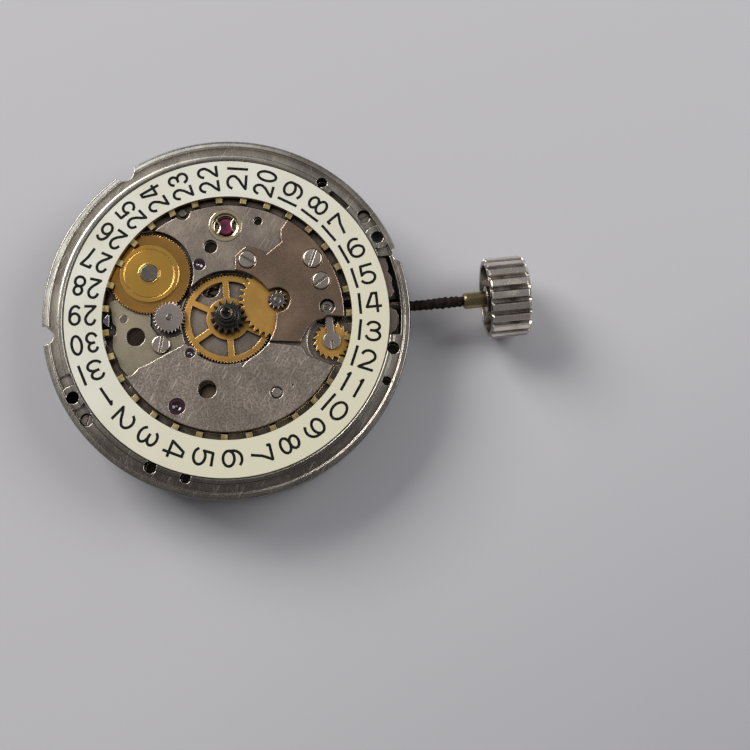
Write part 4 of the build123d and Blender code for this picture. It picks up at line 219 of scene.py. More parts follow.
class Surface(Tree):
    """A material's tree, with the object's own coordinates in millimetres."""

    def __init__(self, name: str) -> None:
        """Makes the material with one Principled shader.

        Args:
            name: the material's name.
        """
        self.material = bpy.data.materials.new(name)
        self.material.use_nodes = True
        super().__init__(self.material.node_tree)
        self.shader = self.add("ShaderNodeBsdfPrincipled")
        self.add("ShaderNodeOutputMaterial", Surface=self.shader.outputs[0])
        own = self.add("ShaderNodeTexCoord")
        self.place = self.moved(own.outputs["Object"], scale=(1 / MM,) * 3)
        split = self.add("ShaderNodeSeparateXYZ", Vector=self.place)
        self.across, self.along, self.up = split.outputs

    def shaded(self, **inputs: object) -> bpy.types.Material:
        """Fills or links the shader's inputs by name and gives the finished material."""
        self.fill_all(self.shader, inputs)
        return self.material

    def moved(
        self,
        vector: bpy.types.NodeSocket,
        shift: tuple = (0.0, 0.0, 0.0),
        turn: float = 0.0,
        scale: tuple = (1.0, 1.0, 1.0),
    ) -> bpy.types.NodeSocket:
        """Shifts, turns about Z and scales coordinates.

        Args:
            vector: the coordinates.
            shift: what is added after the turn and scale.
            turn: angle about Z in degrees.
            scale: factors along X, Y and Z.

        Returns:
            The new coordinates.
        """
        node = self.add("ShaderNodeMapping", Vector=vector, Location=shift, Scale=scale)
        node.inputs["Rotation"].default_value = (0.0, 0.0, math.radians(turn))
        return node.outputs[0]

    def noise(
        self, scale: float, detail: float = 3.0, vector: bpy.types.NodeSocket | None = None
    ) -> bpy.types.NodeSocket:
        """Noise of a given number of features to a millimetre.

        Args:
            scale: features to a millimetre.
            detail: octaves.
            vector: coordinates in millimetres, the object's own by default.

        Returns:
            The noise's value.
        """
        place = vector or self.place
        node = self.add("ShaderNodeTexNoise", Vector=place, Scale=scale, Detail=detail)
        return node.outputs[0]

    def blend(self, share: object, first: object, second: object) -> bpy.types.NodeSocket:
        """Mixes two colours.

        Args:
            share: how much of the second colour.
            first: a colour or socket.
            second: a colour or socket.

        Returns:
            The mixed colour.
        """
        node = self.add("ShaderNodeMix", {"data_type": "RGBA"})
        for order, value in zip(MIX_COLOUR_INPUTS, (share, first, second)):
            self.fill(node.inputs[order], value)
        return node.outputs[MIX_COLOUR_OUTPUT]

    def distance_from(self, centre: Point) -> bpy.types.NodeSocket:
        """Distance in millimetres from an upright axis.

        Args:
            centre: where the axis is, in millimetres.

        Returns:
            The distance.
        """
        across = self.math("SUBTRACT", self.across, centre[0])
        along = self.math("SUBTRACT", self.along, centre[1])
        return self.hypotenuse(across, along)

    def hypotenuse(self, first: object, second: object) -> bpy.types.NodeSocket:
        """Gives the long side of a right triangle from its two short sides."""
        square = self.math("MULTIPLY", first, first)
        return self.math("SQRT", self.math("MULTIPLY_ADD", second, second, square))

    def towards(self, side: Point) -> bpy.types.NodeSocket:
        """Says how far each place lies towards one side of the movement.

        Args:
            side: the side as a direction of length one.

        Returns:
            1 on that side and -1 on the opposite one.
        """
        across = self.math("MULTIPLY", self.across, side[0])
        along = self.math("MULTIPLY_ADD", self.along, side[1], across)
        return self.math("DIVIDE", along, self.distance_from(HANDS_AXIS))


@dataclass(frozen=True)
class Scratches:
    """Sets of long thin scratches that cross a fine grain."""

    turns: tuple = (8.0, 20.0, 38.0, 62.0, 101.0)
    set_apart: float = 3.1
    stretch: tuple = (0.38, 7.0, 1.0)
    density: float = 1.9
    shallowest: float = 0.555
    deepest: float = 0.69
    first_share: float = 0.45
    next_share: float = 0.12
    grain_share: float = 1.05

    def over(
        self, surface: Surface, fine: bpy.types.NodeSocket, turn: float
    ) -> bpy.types.NodeSocket:
        """Lays the scratches over a grain.

        Args:
            surface: the material's tree.
            fine: the fine grain.
            turn: what all the sets are turned by, in degrees.

        Returns:
            The grain with its scratches.
        """
        value = surface.math("MULTIPLY", fine, self.grain_share)
        for step, own_turn in enumerate(self.turns):
            shift = (step * self.set_apart, 0.0, 0.0)
            turned = surface.moved(surface.place, shift, own_turn + turn)
            lines = surface.moved(turned, scale=self.stretch)
            stroke = surface.noise(self.density, detail=2.0, vector=lines)
            share = self.first_share + self.next_share * step
            stroke = surface.span(stroke, self.shallowest, self.deepest, 0.0, share)
            value = surface.math("MAXIMUM", value, stroke)
        return value


@dataclass(frozen=True)
class Metal:
    """A metal finish: its colours, polish and grain, painted shade with dirt in the corners,
    painted shade in the holes and painted highlights on the edges.
    """

    name: str
    colour: Colour
    tarnish: Colour
    roughness: float = 0.30
    unevenness: float = 0.10
    tarnish_share: float = 0.45
    tarnish_scale: float = 0.35
    grain: Grain = Grain.SATIN
    grain_scale: float = 14.0
    grain_turn: float = 25.0
    grain_depth: float = 0.0012
    grain_light: float = 0.30
    centre: Point = HANDS_AXIS
    core: float = 0.0
    core_colour: Colour = (0.30, 0.29, 0.28)
    pits: tuple = ()
    # Painted shade, dirt-brown, in the corners that ambient occlusion finds and in the listed
    # holes.
    dirt: Colour = (0.022, 0.015, 0.010)
    dirt_share: float = 0.92
    dirt_reach: float = 0.9
    dirt_span: Point = (0.25, 0.80)
    # Painted highlight on the edges that the Bevel node rounds, within this radius; its colour
    # also lightens the grain.
    edge: float = 0.05
    edge_colour: Colour = (0.93, 0.87, 0.78)
    edge_share: float = 0.85
    edge_span: Point = (0.86, 0.99)
    cloud_span: Point = (0.40, 0.70)
    light_span: Point = (0.45, 0.95)
    sheen_span: Point = (0.2, 0.8)
    patch_scale: float = 1.3
    patch_span: Point = (0.30, 0.60)
    patch_share: float = 0.65
    # How the painted shade in each hole fades out at its rim.
    pit_edge: float = 0.92
    pit_fade: float = 0.02
    pit_share: float = 0.93
    grain_weight: float = 0.6
    brushed_stretch: tuple = (0.06, 1.0, 1.0)
    brushed_finer: float = 2.0
    turned_finer: float = 1.5
    scratches: Scratches = Scratches()

    def pattern(self, surface: Surface) -> bpy.types.NodeSocket:
        """Makes the grain as a value from 0 to 1.

        Args:
            surface: the material's tree.

        Returns:
            The grain's value.
        """
        if self.grain is Grain.STRAIGHT:
            turned = surface.moved(surface.place, turn=self.grain_turn)
            long_way = surface.moved(turned, scale=self.brushed_stretch)
            return surface.noise(self.grain_scale * self.brushed_finer, vector=long_way)
        if self.grain is Grain.TURNED:
            reach = surface.distance_from(self.centre)
            rings = surface.add("ShaderNodeCombineXYZ", X=reach).outputs[0]
            return surface.noise(self.grain_scale * self.turned_finer, detail=2.0, vector=rings)
        fine = surface.noise(self.grain_scale, detail=4.0)
        if self.grain is Grain.SCRATCHED:
            return self.scratches.over(surface, fine, self.grain_turn)
        return fine

    def tone(self, surface: Surface, grain: object, cloud: object) -> bpy.types.NodeSocket:
        """Mixes the colour of the open surface.

        Args:
            surface: the material's tree.
            grain: the grain's value.
            cloud: how tarnished each place is.

        Returns:
            The colour.
        """
        share = surface.math("MULTIPLY", cloud, self.tarnish_share)
        colour = surface.blend(share, self.colour, self.tarnish)
        colour = self.zones(surface, colour)
        lighter = surface.span(grain, *self.light_span, 0.0, self.grain_light)
        colour = surface.blend(lighter, colour, self.edge_colour)
        if not self.core:
            return colour
        return surface.blend(self.in_core(surface), colour, self.core_colour)

    def in_core(self, surface: Surface) -> bpy.types.NodeSocket:
        """Gives 1 within the core, which is an arbor of another metal."""
        return surface.math("LESS_THAN", surface.distance_from(self.centre), self.core)

    def zones(self, surface: Surface, colour: object) -> object:
        """Leaves the colour as it is, for a part that has one tone all over."""
        return colour

    def soiled(self, surface: Surface) -> bpy.types.NodeSocket:
        """Says how much painted shade and dirt lie in the corners, and painted shade in the holes.

        Args:
            surface: the material's tree.

        Returns:
            The share of painted shade.
        """
        # Painted shade in the corners that ambient occlusion finds, broken into patches.
        reach = self.dirt_reach * MM
        shade = surface.add("ShaderNodeAmbientOcclusion", {"samples": 8}, Distance=reach)
        corner = surface.span(shade.outputs["AO"], *self.dirt_span, self.dirt_share, 0.0)
        patches = surface.noise(self.patch_scale, detail=4.0)
        patches = surface.span(patches, *self.patch_span, self.patch_share, 1.0)
        share = surface.math("MULTIPLY", corner, patches)
        # Painted shade on the floor of each listed hole.
        for place, radius in self.pits:
            off = surface.distance_from(place)
            inner, outer = radius * self.pit_edge, radius + self.pit_fade
            hole = surface.span(off, inner, outer, self.pit_share, 0.0)
            share = surface.math("MAXIMUM", share, hole)
        return share

    def build(self) -> bpy.types.Material:
        """Makes the material.

        Returns:
            The new material.
        """
        surface = Surface(self.name)
        grain = self.pattern(surface)
        cloud = surface.noise(self.tarnish_scale, detail=5.0)
        cloud = surface.span(cloud, *self.cloud_span)
        colour = self.tone(surface, grain, cloud)
        # Painted shade and dirt in the corners, painted shade in the holes.
        colour = surface.blend(self.soiled(surface), colour, self.dirt)
        rounded = surface.add("ShaderNodeBevel", {"samples": 8}, Radius=self.edge * MM).outputs[0]
        facing = surface.add("ShaderNodeNewGeometry").outputs["True Normal"]
        turn = surface.dot(rounded, facing)
        # Painted highlight along the rounded edges, kept off the core.
        worn = surface.span(turn, *self.edge_span, self.edge_share, 0.0)
        if self.core:
            around = surface.math("SUBTRACT", 1.0, self.in_core(surface))
            worn = surface.math("MULTIPLY", worn, around)
        low, high = self.roughness - self.unevenness, self.roughness + self.unevenness
        mixed = surface.math("MULTIPLY", cloud, 1.0 - self.grain_weight)
        mixed = surface.math("MULTIPLY_ADD", grain, self.grain_weight, mixed)
        depth = self.grain_depth * MM
        bump = surface.add(
            "ShaderNodeBump", Strength=0.6, Distance=depth, Height=grain, Normal=rounded
        )
        return surface.shaded(
            Base_Color=surface.blend(worn, colour, self.edge_colour),
            Metallic=1.0,
            Roughness=surface.span(mixed, *self.sheen_span, low, high),
            Normal=bump.outputs[0],
        )


@dataclass(frozen=True)
class RimMetal(Metal):
    """Nickel whose rim has a painted highlight on one side and painted shade on the other."""

    rim_from: float = 11.52
    ridge_edge: float = 11.78
    groove_from: float = 11.97
    groove_end: float = 12.40
    lip_from: float = 12.53
    lip_until: float = 12.83
    lip_above: float = -0.40
    # The sides that get the painted highlight and the painted shade.
    polished_side: Point = (-0.56, 0.83)
    stained_side: Point = (-0.09, -1.0)
    polished_span: Point = (0.50, 0.88)
    stained_span: Point = (0.30, 0.86)
    lip_stain: float = 0.75
    ridge: Colour = (0.36, 0.325, 0.27)
    groove: Colour = (0.46, 0.42, 0.35)
    # Painted shade in the groove, growing towards its foot beside the lip, darkest in the corner.
    groove_low: Colour = (0.26, 0.225, 0.18)
    corner: Colour = (0.17, 0.14, 0.105)
    lip: Colour = (0.36, 0.315, 0.26)
    side: Colour = (0.24, 0.23, 0.20)
    # Colours of the painted highlight and the painted shade.
    polish: Colour = (1.0, 0.965, 0.86)
    stain: Colour = (0.105, 0.085, 0.07)

    def zones(self, surface: Surface, colour: object) -> object:
        """Lays the ridge, the groove and the lip in rings of their own tone, with a painted
        highlight on one side and painted shade on the other.

        Args:
            surface: the material's tree.
            colour: the colour of the rest.

        Returns:
            The colour with the rim's rings.
        """
        reach = surface.distance_from(HANDS_AXIS)
        # Painted highlight towards the upper left, painted shade towards the bottom.
        bright = surface.span(surface.towards(self.polished_side), *self.polished_span)
        dark = surface.span(surface.towards(self.stained_side), *self.stained_span)
        # How far into the painted shade at the groove's foot.
        deep = surface.span(reach, self.groove_from, self.groove_end)
        highlit_ridge = surface.blend(bright, self.ridge, self.polish)
        rings = (
            (self.rim_from, self.ridge),
            (self.ridge_edge, highlit_ridge),
            (self.groove_from, surface.blend(deep, self.groove, self.groove_low)),
            (self.groove_end, self.corner),
        )
        for start, tone in rings:
            colour = surface.blend(surface.math("GREATER_THAN", reach, start), colour, tone)
        outside = surface.math("GREATER_THAN", reach, self.rim_from)
        colour = surface.blend(surface.math("MULTIPLY", dark, outside), colour, self.stain)
        on_lip = surface.math("GREATER_THAN", reach, self.lip_from)
        above = surface.math("GREATER_THAN", surface.up, self.lip_above)
        within = surface.math("LESS_THAN", reach, self.lip_until)
        above = surface.math("MULTIPLY", above, within)
        # The lip gets the painted highlight above and painted shade on the lower side.
        edge = surface.blend(above, self.side, surface.blend(bright, self.lip, self.polish))
        edge = surface.blend(surface.math("MULTIPLY", dark, self.lip_stain), edge, self.stain)
        return surface.blend(on_lip, colour, edge)


@dataclass(frozen=True)
class ToothedMetal(Metal):
    """Gold of a turned disc, with a duller band of teeth outside it, which is in painted shade
    towards the lower right.
    """

    disc: float = 2.12
    # The band's colour, lit, and in painted shade towards the lower right.
    near: Colour = (0.62, 0.31, 0.075)
    far: Colour = (0.50, 0.235, 0.05)
    fade_slope: float = 0.7
    fade: Point = (-8.0, 9.0)

    def zones(self, surface: Surface, colour: object) -> object:
        """Lays the band of teeth round the disc.

        Args:
            surface: the material's tree.
            colour: the colour of the disc.

        Returns:
            The colour with the band.
        """
        across = surface.math("MULTIPLY", surface.across, self.fade_slope)
        lower_right = surface.math("SUBTRACT", across, surface.along)
        # Painted shade on the band towards the lower right.
        band = surface.blend(surface.span(lower_right, *self.fade), self.near, self.far)
        outside = surface.math("GREATER_THAN", surface.distance_from(self.centre), self.disc)
        return surface.blend(outside, colour, band)


@dataclass(frozen=True)
class CrownMetal(Metal):
    """Worn plating with painted shade at the bottom of the crown's flutes."""

    clean_from: float = 2.98
    black_below: float = 2.84
    ragged_scale: float = 1.6
    raggedness: float = 0.16
    outer_face: float = 21.6
    broken_scale: float = 0.9
    broken_span: Point = (0.35, 0.65)
    broken_share: Point = (0.35, 0.90)

    def soiled(self, surface: Surface) -> bpy.types.NodeSocket:
        """Says how much painted shade lies in the flutes and in the hollow.

        Args:
            surface: the material's tree.

        Returns:
            The share of grime.
        """
        up = surface.math("SUBTRACT", surface.up, STEM_HEIGHT)
        reach = surface.hypotenuse(surface.along, up)
        ragged = surface.noise(self.ragged_scale, detail=4.0)
        ragged = surface.math("MULTIPLY_ADD", ragged, self.raggedness, reach)
        # Painted shade at the bottom of the flutes, broken up by noise.
        deep = surface.span(ragged, self.black_below, self.clean_from, 1.0, 0.0)
        flank = surface.math("LESS_THAN", surface.across, self.outer_face)
        broken = surface.noise(self.broken_scale)
        broken = surface.span(broken, *self.broken_span, *self.broken_share)
        flute_shade = surface.math("MULTIPLY", surface.math("MULTIPLY", deep, flank), broken)
        return surface.math("MAXIMUM", flute_shade, super().soiled(surface))


@dataclass(frozen=True)
class Lacquer:
    """White lacquer on a brass ring, which stays bare inside a line."""

    name: str = "ring_lacquer"
    colour: Colour = (0.70, 0.69, 0.60)
    second: Colour = (0.62, 0.60, 0.49)
    brass: Colour = (0.66, 0.54, 0.28)
    dark_brass: Colour = (0.34, 0.25, 0.10)
    # Darker and yellower towards the lower right.
    yellowed: Colour = (0.655, 0.62, 0.465)
    yellowed_side: Point = (0.60, -0.80)
    yellowed_span: Point = (-0.4, 0.7)
    cloud_scale: float = 0.25
    cloud_span: Point = (0.35, 0.70)
    speck_scale: float = 7.0
    speck_span: Point = (0.72, 0.78)
    speck_share: float = 0.25
    patch_scale: float = 2.0
    patch_span: Point = (0.35, 0.65)
    bare_within: float = 8.845
    bare_below: float = -0.20
    roughness: float = 0.34
    unevenness: float = 0.06
    sheen_scale: float = 3.0
    sheen_span: Point = (0.3, 0.7)
    edge: float = 0.05
    wave_scale: float = 1.2
    wave_depth: float = 0.002

    def build(self) -> bpy.types.Material:
        """Makes the material.

        Returns:
            The new material.
        """
        surface = Surface(self.name)
        cloud = surface.span(surface.noise(self.cloud_scale, detail=4.0), *self.cloud_span)
        white = surface.blend(cloud, self.colour, self.second)
        # Darker and yellower towards the lower right.
        lower_right_share = surface.span(surface.towards(self.yellowed_side), *self.yellowed_span)
        white = surface.blend(lower_right_share, white, self.yellowed)
        speck = surface.noise(self.speck_scale, detail=2.0)
        speck = surface.span(speck, *self.speck_span, 0.0, self.speck_share)
        white = surface.blend(speck, white, self.dark_brass)
        patches = surface.span(surface.noise(self.patch_scale, detail=4.0), *self.patch_span)
        bare = surface.blend(patches, self.brass, self.dark_brass)
        reach = surface.distance_from(HANDS_AXIS)
        outside = surface.math("GREATER_THAN", reach, self.bare_within)
        above = surface.math("GREATER_THAN", surface.up, self.bare_below)
        painted = surface.math("MULTIPLY", outside, above)
        smooth, dull = self.roughness - self.unevenness, self.roughness + self.unevenness
        rounded = surface.add("ShaderNodeBevel", {"samples": 4}, Radius=self.edge * MM).outputs[0]
        wavy = surface.noise(self.wave_scale, detail=2.0)
        depth = self.wave_depth * MM
        bump = surface.add(
            "ShaderNodeBump", Strength=0.5, Distance=depth, Height=wavy, Normal=rounded
        )
        sheen = surface.noise(self.sheen_scale)
        return surface.shaded(
            Base_Color=surface.blend(painted, bare, white),
            Metallic=surface.math("SUBTRACT", 1.0, painted),
            Roughness=surface.span(sheen, *self.sheen_span, smooth, dull),
            Normal=bump.outputs[0],
        )


@dataclass(frozen=True)
class Ruby:
    """Synthetic ruby with darker clouds, which lets some light through."""

    name: str = "ruby"
    colour: Colour = (0.28, 0.012, 0.085)
    deep: Colour = (0.060, 0.003, 0.022)
    clearness: float = 0.35
    refraction: float = 1.76
    cloud_scale: float = 2.2
    cloud_span: Point = (0.35, 0.65)
    sheen_scale: float = 4.0
    sheen_span: Point = (0.3, 0.7)
    roughness: Point = (0.05, 0.12)

    def build(self) -> bpy.types.Material:
        """Makes the material.

        Returns:
            The new material.
        """
        surface = Surface(self.name)
        cloud = surface.span(surface.noise(self.cloud_scale), *self.cloud_span)
        sheen = surface.noise(self.sheen_scale)
        return surface.shaded(
            Base_Color=surface.blend(cloud, self.colour, self.deep),
            Transmission_Weight=self.clearness,
            IOR=self.refraction,
            Roughness=surface.span(sheen, *self.sheen_span, *self.roughness),
        )


@dataclass(frozen=True)
class Rust:
    """Dark brown rust in patches over bare steel."""

    name: str = "rusty_stem"
    dark: Colour = (0.004, 0.0025, 0.002)
    brown: Colour = (0.022, 0.0085, 0.0055)
    steel: Colour = (0.11, 0.095, 0.08)
    clean_before: float = 12.6
    rusty_from: float = 13.2
    patch_scale: float = 3.2
    patch_span: Point = (0.38, 0.62)
    metallic: Point = (1.0, 0.25)
    roughness: Point = (0.35, 0.80)
    shine: float = 0.25
    pit_scale: float = 6.0
    pit_depth: float = 0.03

    def build(self) -> bpy.types.Material:
        """Makes the material: clean steel inside the movement, rust outside.

        Returns:
            The new material.
        """
        surface = Surface(self.name)
        patches = surface.span(surface.noise(self.patch_scale, detail=6.0), *self.patch_span)
        rust = surface.blend(patches, self.dark, self.brown)
        rusty = surface.span(surface.across, self.clean_before, self.rusty_from)
        rough = surface.noise(self.pit_scale, detail=6.0)
        depth = self.pit_depth * MM
        bump = surface.add("ShaderNodeBump", Strength=0.9, Distance=depth, Height=rough)
        return surface.shaded(
            Base_Color=surface.blend(rusty, self.steel, rust),
            Metallic=surface.span(rusty, 0.0, 1.0, *self.metallic),
            Roughness=surface.span(rusty, 0.0, 1.0, *self.roughness),
            Specular_IOR_Level=self.shine,
            Normal=bump.outputs[0],
        )


@dataclass(frozen=True)
class Ink:
    """Printed black ink."""

    name: str = "date_ink"
    colour: Colour = (0.004, 0.004, 0.0045)
    worn: Colour = (0.016, 0.015, 0.014)
    cloud_scale: float = 5.0
    cloud_span: Point = (0.40, 0.75)
    roughness: Point = (0.42, 0.55)
    shine: float = 0.12

    def build(self) -> bpy.types.Material:
        """Makes the material.

        Returns:
            The new material.
        """
        surface = Surface(self.name)
        cloud = surface.span(surface.noise(self.cloud_scale, detail=4.0), *self.cloud_span)
        return surface.shaded(
            Base_Color=surface.blend(cloud, self.colour, self.worn),
            Roughness=surface.span(cloud, 0.0, 1.0, *self.roughness),
            Specular_IOR_Level=self.shine,
        )


@dataclass(frozen=True)
class Paper:
    """The pale floor, with painted shade towards the lower right."""

    name: str = "pale_floor"
    colour: Colour = (0.475, 0.468, 0.488)
    # Colour of the painted shade towards the lower right.
    second: Colour = (0.350, 0.345, 0.368)
    light_until: float = 26.0
    dark_from: float = 80.0
    slope: float = 0.6
    wave_scale: float = 0.02
    waviness: float = 8.0
    roughness: float = 0.9

    def build(self) -> bpy.types.Material:
        """Makes the material.

        Returns:
            The new material.
        """
        surface = Surface(self.name)
        across = surface.math("MULTIPLY", surface.across, self.slope)
        down = surface.math("SUBTRACT", across, surface.along)
        waves = surface.noise(self.wave_scale)
        uneven = surface.math("MULTIPLY_ADD", waves, self.waviness, down)
        # Painted shade towards the lower right, made uneven by noise.
        far = surface.span(uneven, self.light_until, self.dark_from)
        return surface.shaded(
            Base_Color=surface.blend(far, self.colour, self.second), Roughness=self.roughness
        )


def linked(name: str, data: bpy.types.ID) -> bpy.types.Object:
    """Makes an object at the origin and links it to the scene.

    Args:
        name: the object's name.
        data: its mesh, lamp or camera.

    Returns:
        The object.
    """
    made = bpy.data.objects.new(name, data)
    bpy.context.scene.collection.objects.link(made)
    return made


def finished(name: str, mesh: bpy.types.Mesh) -> bpy.types.Object:
    """Closes a mesh's seams, turns its faces outwards and makes it an object.

    Args:
        name: the piece's name.
        mesh: its mesh.

    Returns:
        The object, linked to the scene.
    """
    shape = bmesh.new()
    shape.from_mesh(mesh)
    bmesh.ops.remove_doubles(shape, verts=shape.verts, dist=SEAM)
    bmesh.ops.recalc_face_normals(shape, faces=shape.faces)
    shape.to_mesh(mesh)
    shape.free()
    mesh.name = name
    return linked(name, mesh)


class Recipe(Tree):
    """A Geometry Nodes tree with named inputs, worked in millimetres."""

    def __init__(self, name: str) -> None:
        """Starts the tree with a geometry in and a geometry out.

        Args:
            name: the tree's name.
        """
        self.name = name
        super().__init__(bpy.data.node_groups.new(name, "GeometryNodeTree"))
        kind = "NodeSocketGeometry"
        for side in ("INPUT", "OUTPUT"):
            self.tree.interface.new_socket("Geometry", in_out=side, socket_type=kind)
        self.start = self.add("NodeGroupInput")
        self.values: dict[str, object] = {}

    def named(self, label: str, value: object) -> bpy.types.NodeSocket:
        """Adds a named input to the tree.

        Args:
            label: what the input is called.
            value: its number or material.

        Returns:
            The socket that carries it.
        """
        kind = "NodeSocketFloat" if isinstance(value, float) else "NodeSocketMaterial"
        socket = self.tree.interface.new_socket(label, in_out="INPUT", socket_type=kind)
        self.values[socket.identifier] = value
        return self.start.outputs[label]

    def choose(self, index: object, values: tuple) -> bpy.types.NodeSocket:
        """Picks one of several numbers by an index.

        Args:
            index: the index's socket.
            values: numbers or sockets.

        Returns:
            The picked number.
        """
        node = self.tree.nodes.new("GeometryNodeIndexSwitch")
        node.data_type = "FLOAT"
        while len(node.index_switch_items) < len(values):
            node.index_switch_items.new()
        self.fill(node.inputs[0], index)
        for order, value in enumerate(values):
            self.fill(node.inputs[order + 1], value)
        return node.outputs[0]

    def sheet(self, sides: int, stations: int) -> tuple:
        """Makes a grid that a turned form is bent from.

        Args:
            sides: how many steps go round.
            stations: how many rings there are.

        Returns:
            The grid, the share of the turn, the angle and the ring's number.
        """
        grid = self.add("GeometryNodeMeshGrid", Vertices_X=sides + 1, Vertices_Y=stations)
        flat = self.add("ShaderNodeSeparateXYZ", Vector=grid.outputs["UV Map"])
        share = flat.outputs[0]
        station = self.math("ROUND", self.math("MULTIPLY", flat.outputs[1], stations - 1.0))
        return grid.outputs[0], share, self.math("MULTIPLY", share, math.tau), station

    def bent(
        self, grid: object, angle: object, reach: object, height: object
    ) -> bpy.types.NodeSocket:
        """Bends a grid round the Z axis and closes its seam.

        Args:
            grid: the grid.
            angle: the angle of each point.
            reach: its distance from the axis.
            height: its height.

        Returns:
            The turned form.
        """
        across = self.math("MULTIPLY", reach, self.math("COSINE", angle))
        along = self.math("MULTIPLY", reach, self.math("SINE", angle))
        place = self.add("ShaderNodeCombineXYZ", X=across, Y=along, Z=height)
        laid = self.add("GeometryNodeSetPosition", Geometry=grid, Position=place.outputs[0])
        closed = self.add(
            "GeometryNodeMergeByDistance", Geometry=laid.outputs[0], Distance=SEAM / MM
        )
        return closed.outputs[0]

    def turned(self, profile: list[tuple[object, object]], sides: int) -> bpy.types.NodeSocket:
        """Turns a profile about the Z axis.

        Args:
            profile: radius and height of each ring, from one end of the axis to the other.
            sides: how many steps go round.

        Returns:
            The turned form.
        """
        grid, _, angle, station = self.sheet(sides, len(profile))
        reach, height = (self.choose(station, column) for column in zip(*profile))
        return self.bent(grid, angle, reach, height)

    def moved(
        self,
        shape: object,
        shift: tuple = (0.0, 0.0, 0.0),
        turn: tuple = (0.0, 0.0, 0.0),
        scale: float = 1.0,
    ) -> bpy.types.NodeSocket:
        """Turns, scales and shifts a form.

        Args:
            shape: the form.
            shift: where it goes.
            turn: angles in degrees.
            scale: its factor.

        Returns:
            The moved form.
        """
        node = self.add(
            "GeometryNodeTransform",
            Geometry=shape,
            Translation=shift,
            Rotation=tuple(math.radians(a) for a in turn),
            Scale=(scale,) * 3,
        )
        return node.outputs[0]

    def joined(self, *shapes: object) -> bpy.types.NodeSocket:
        """Joins several forms.

        Args:
            *shapes: the forms.

        Returns:
            The joined geometry.
        """
        node = self.add("GeometryNodeJoinGeometry")
        for shape in shapes:
            self.fill(node.inputs[0], shape)
        return node.outputs[0]

    def spread(self, unit: object, flip: object) -> bpy.types.NodeSocket:
        """Puts a form of unit radius on every point, by its size and turn.

        Args:
            unit: the form.
            flip: 1 where it faces up and -1 where it faces down.

        Returns:
            The instances.
        """
        kind = {"data_type": "FLOAT"}
        size, turn = (
            self.add("GeometryNodeInputNamedAttribute", kind, Name=key).outputs[0]
            for key in SPOT_VALUES
        )
        angle = self.add("ShaderNodeCombineXYZ", Z=turn)
        upright = self.math("MULTIPLY", size, flip)
        factor = self.add("ShaderNodeCombineXYZ", X=size, Y=size, Z=upright)
        node = self.add(
            "GeometryNodeInstanceOnPoints",
            Points=self.start.outputs[0],
            Instance=unit,
            Rotation=angle.outputs[0],
            Scale=factor.outputs[0],
        )
        return node.outputs[0]

    def grown(
        self, shape: object, finish: bpy.types.Material, spots: list[Spot] | None = None
    ) -> bpy.types.Object:
        """Ends the tree, runs it on a set of points and keeps the plain mesh.

        Args:
            shape: the last form, in millimetres.
            finish: its material.
            spots: place, size and turn of each point, one at the origin by default.

        Returns:
            The finished piece.
        """
        real = self.add("GeometryNodeRealizeInstances", Geometry=shape).outputs[0]
        small = self.moved(real, scale=MM)
        coat = self.named("Finish", finish)
        last = self.add("GeometryNodeSetMaterial", Geometry=small, Material=coat)
        self.add("NodeGroupOutput", Geometry=last.outputs[0])
        places, *columns = zip(*(spots or [((0.0, 0.0, 0.0), 1.0, 0.0)]))
        base = bpy.data.meshes.new(self.name + "_points")
        base.from_pydata(places, [], [])
        for key, column in zip(SPOT_VALUES, columns):
            base.attributes.new(key, "FLOAT", "POINT").data.foreach_set("value", column)
        seed = linked(self.name + "_points", base)
        modifier = seed.modifiers.new("grow", "NODES")
        modifier.node_group = self.tree
        for identifier, value in self.values.items():
            modifier[identifier] = value
        graph = bpy.context.evaluated_depsgraph_get()
        mesh = bpy.data.meshes.new_from_object(seed.evaluated_get(graph))
        bpy.data.objects.remove(seed)
        return finished(self.name, mesh)


def thicken(shape: bmesh.types.BMesh, flat: list, depth: float) -> None:
    """Gives flat faces a thickness downwards.

    Args:
        shape: the mesh that is being made.
        flat: its flat faces.
        depth: how far down, in millimetres.
    """
    lower = bmesh.ops.extrude_face_region(shape, geom=flat, use_keep_orig=True)
    moved = [corner for corner in lower["geom"] if isinstance(corner, bmesh.types.BMVert)]
    bmesh.ops.translate(shape, verts=moved, vec=(0.0, 0.0, -depth * MM))


def box_of(node: str) -> tuple[Vector, Vector]:
    """Gives a node's low and high corner in millimetres."""
    low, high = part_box(node)
    return Vector(low) / MM, Vector(high) / MM


def middle_of(node: str) -> Vector:
    """Gives the middle of a node's box in millimetres."""
    low, high = box_of(node)
    return (low + high) / 2


def solids_of(node: str) -> list[tuple[Vector, Vector]]:
    """Finds the boxes of a node's separate solids.

    Args:
        node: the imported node's name.

    Returns:
        The low and high corner of each solid in millimetres, from left to right.
    """
    packed = frame["nodes"][node]
    shape = bmesh.new()
    shape.from_mesh(packed.data)
    shape.transform(packed.matrix_world)
    bmesh.ops.remove_doubles(shape, verts=shape.verts, dist=SEAM)
    boxes, seen = [], set()
    for first in shape.verts:
        if first in seen:
            continue
        group, queue = [], [first]
        seen.add(first)
        while queue:
            corner = queue.pop()
            group.append(corner.co / MM)
            for edge in corner.link_edges:
                other = edge.other_vert(corner)
                if other not in seen:
                    seen.add(other)
                    queue.append(other)
        low, high = (Vector([end(axis) for axis in zip(*group)]) for end in (min, max))
        boxes.append((low, high))
    shape.free()
    return sorted(boxes, key=lambda box: box[0].x)


def spot_on(box: tuple[Vector, Vector], height: float, turn: float = 0.0) -> Spot:
    """Gives the place, radius and turn of a round upright solid from its box."""
    low, high = box
    return ((low.x + high.x) / 2, (low.y + high.y) / 2, height), (high.x - low.x) / 2, turn


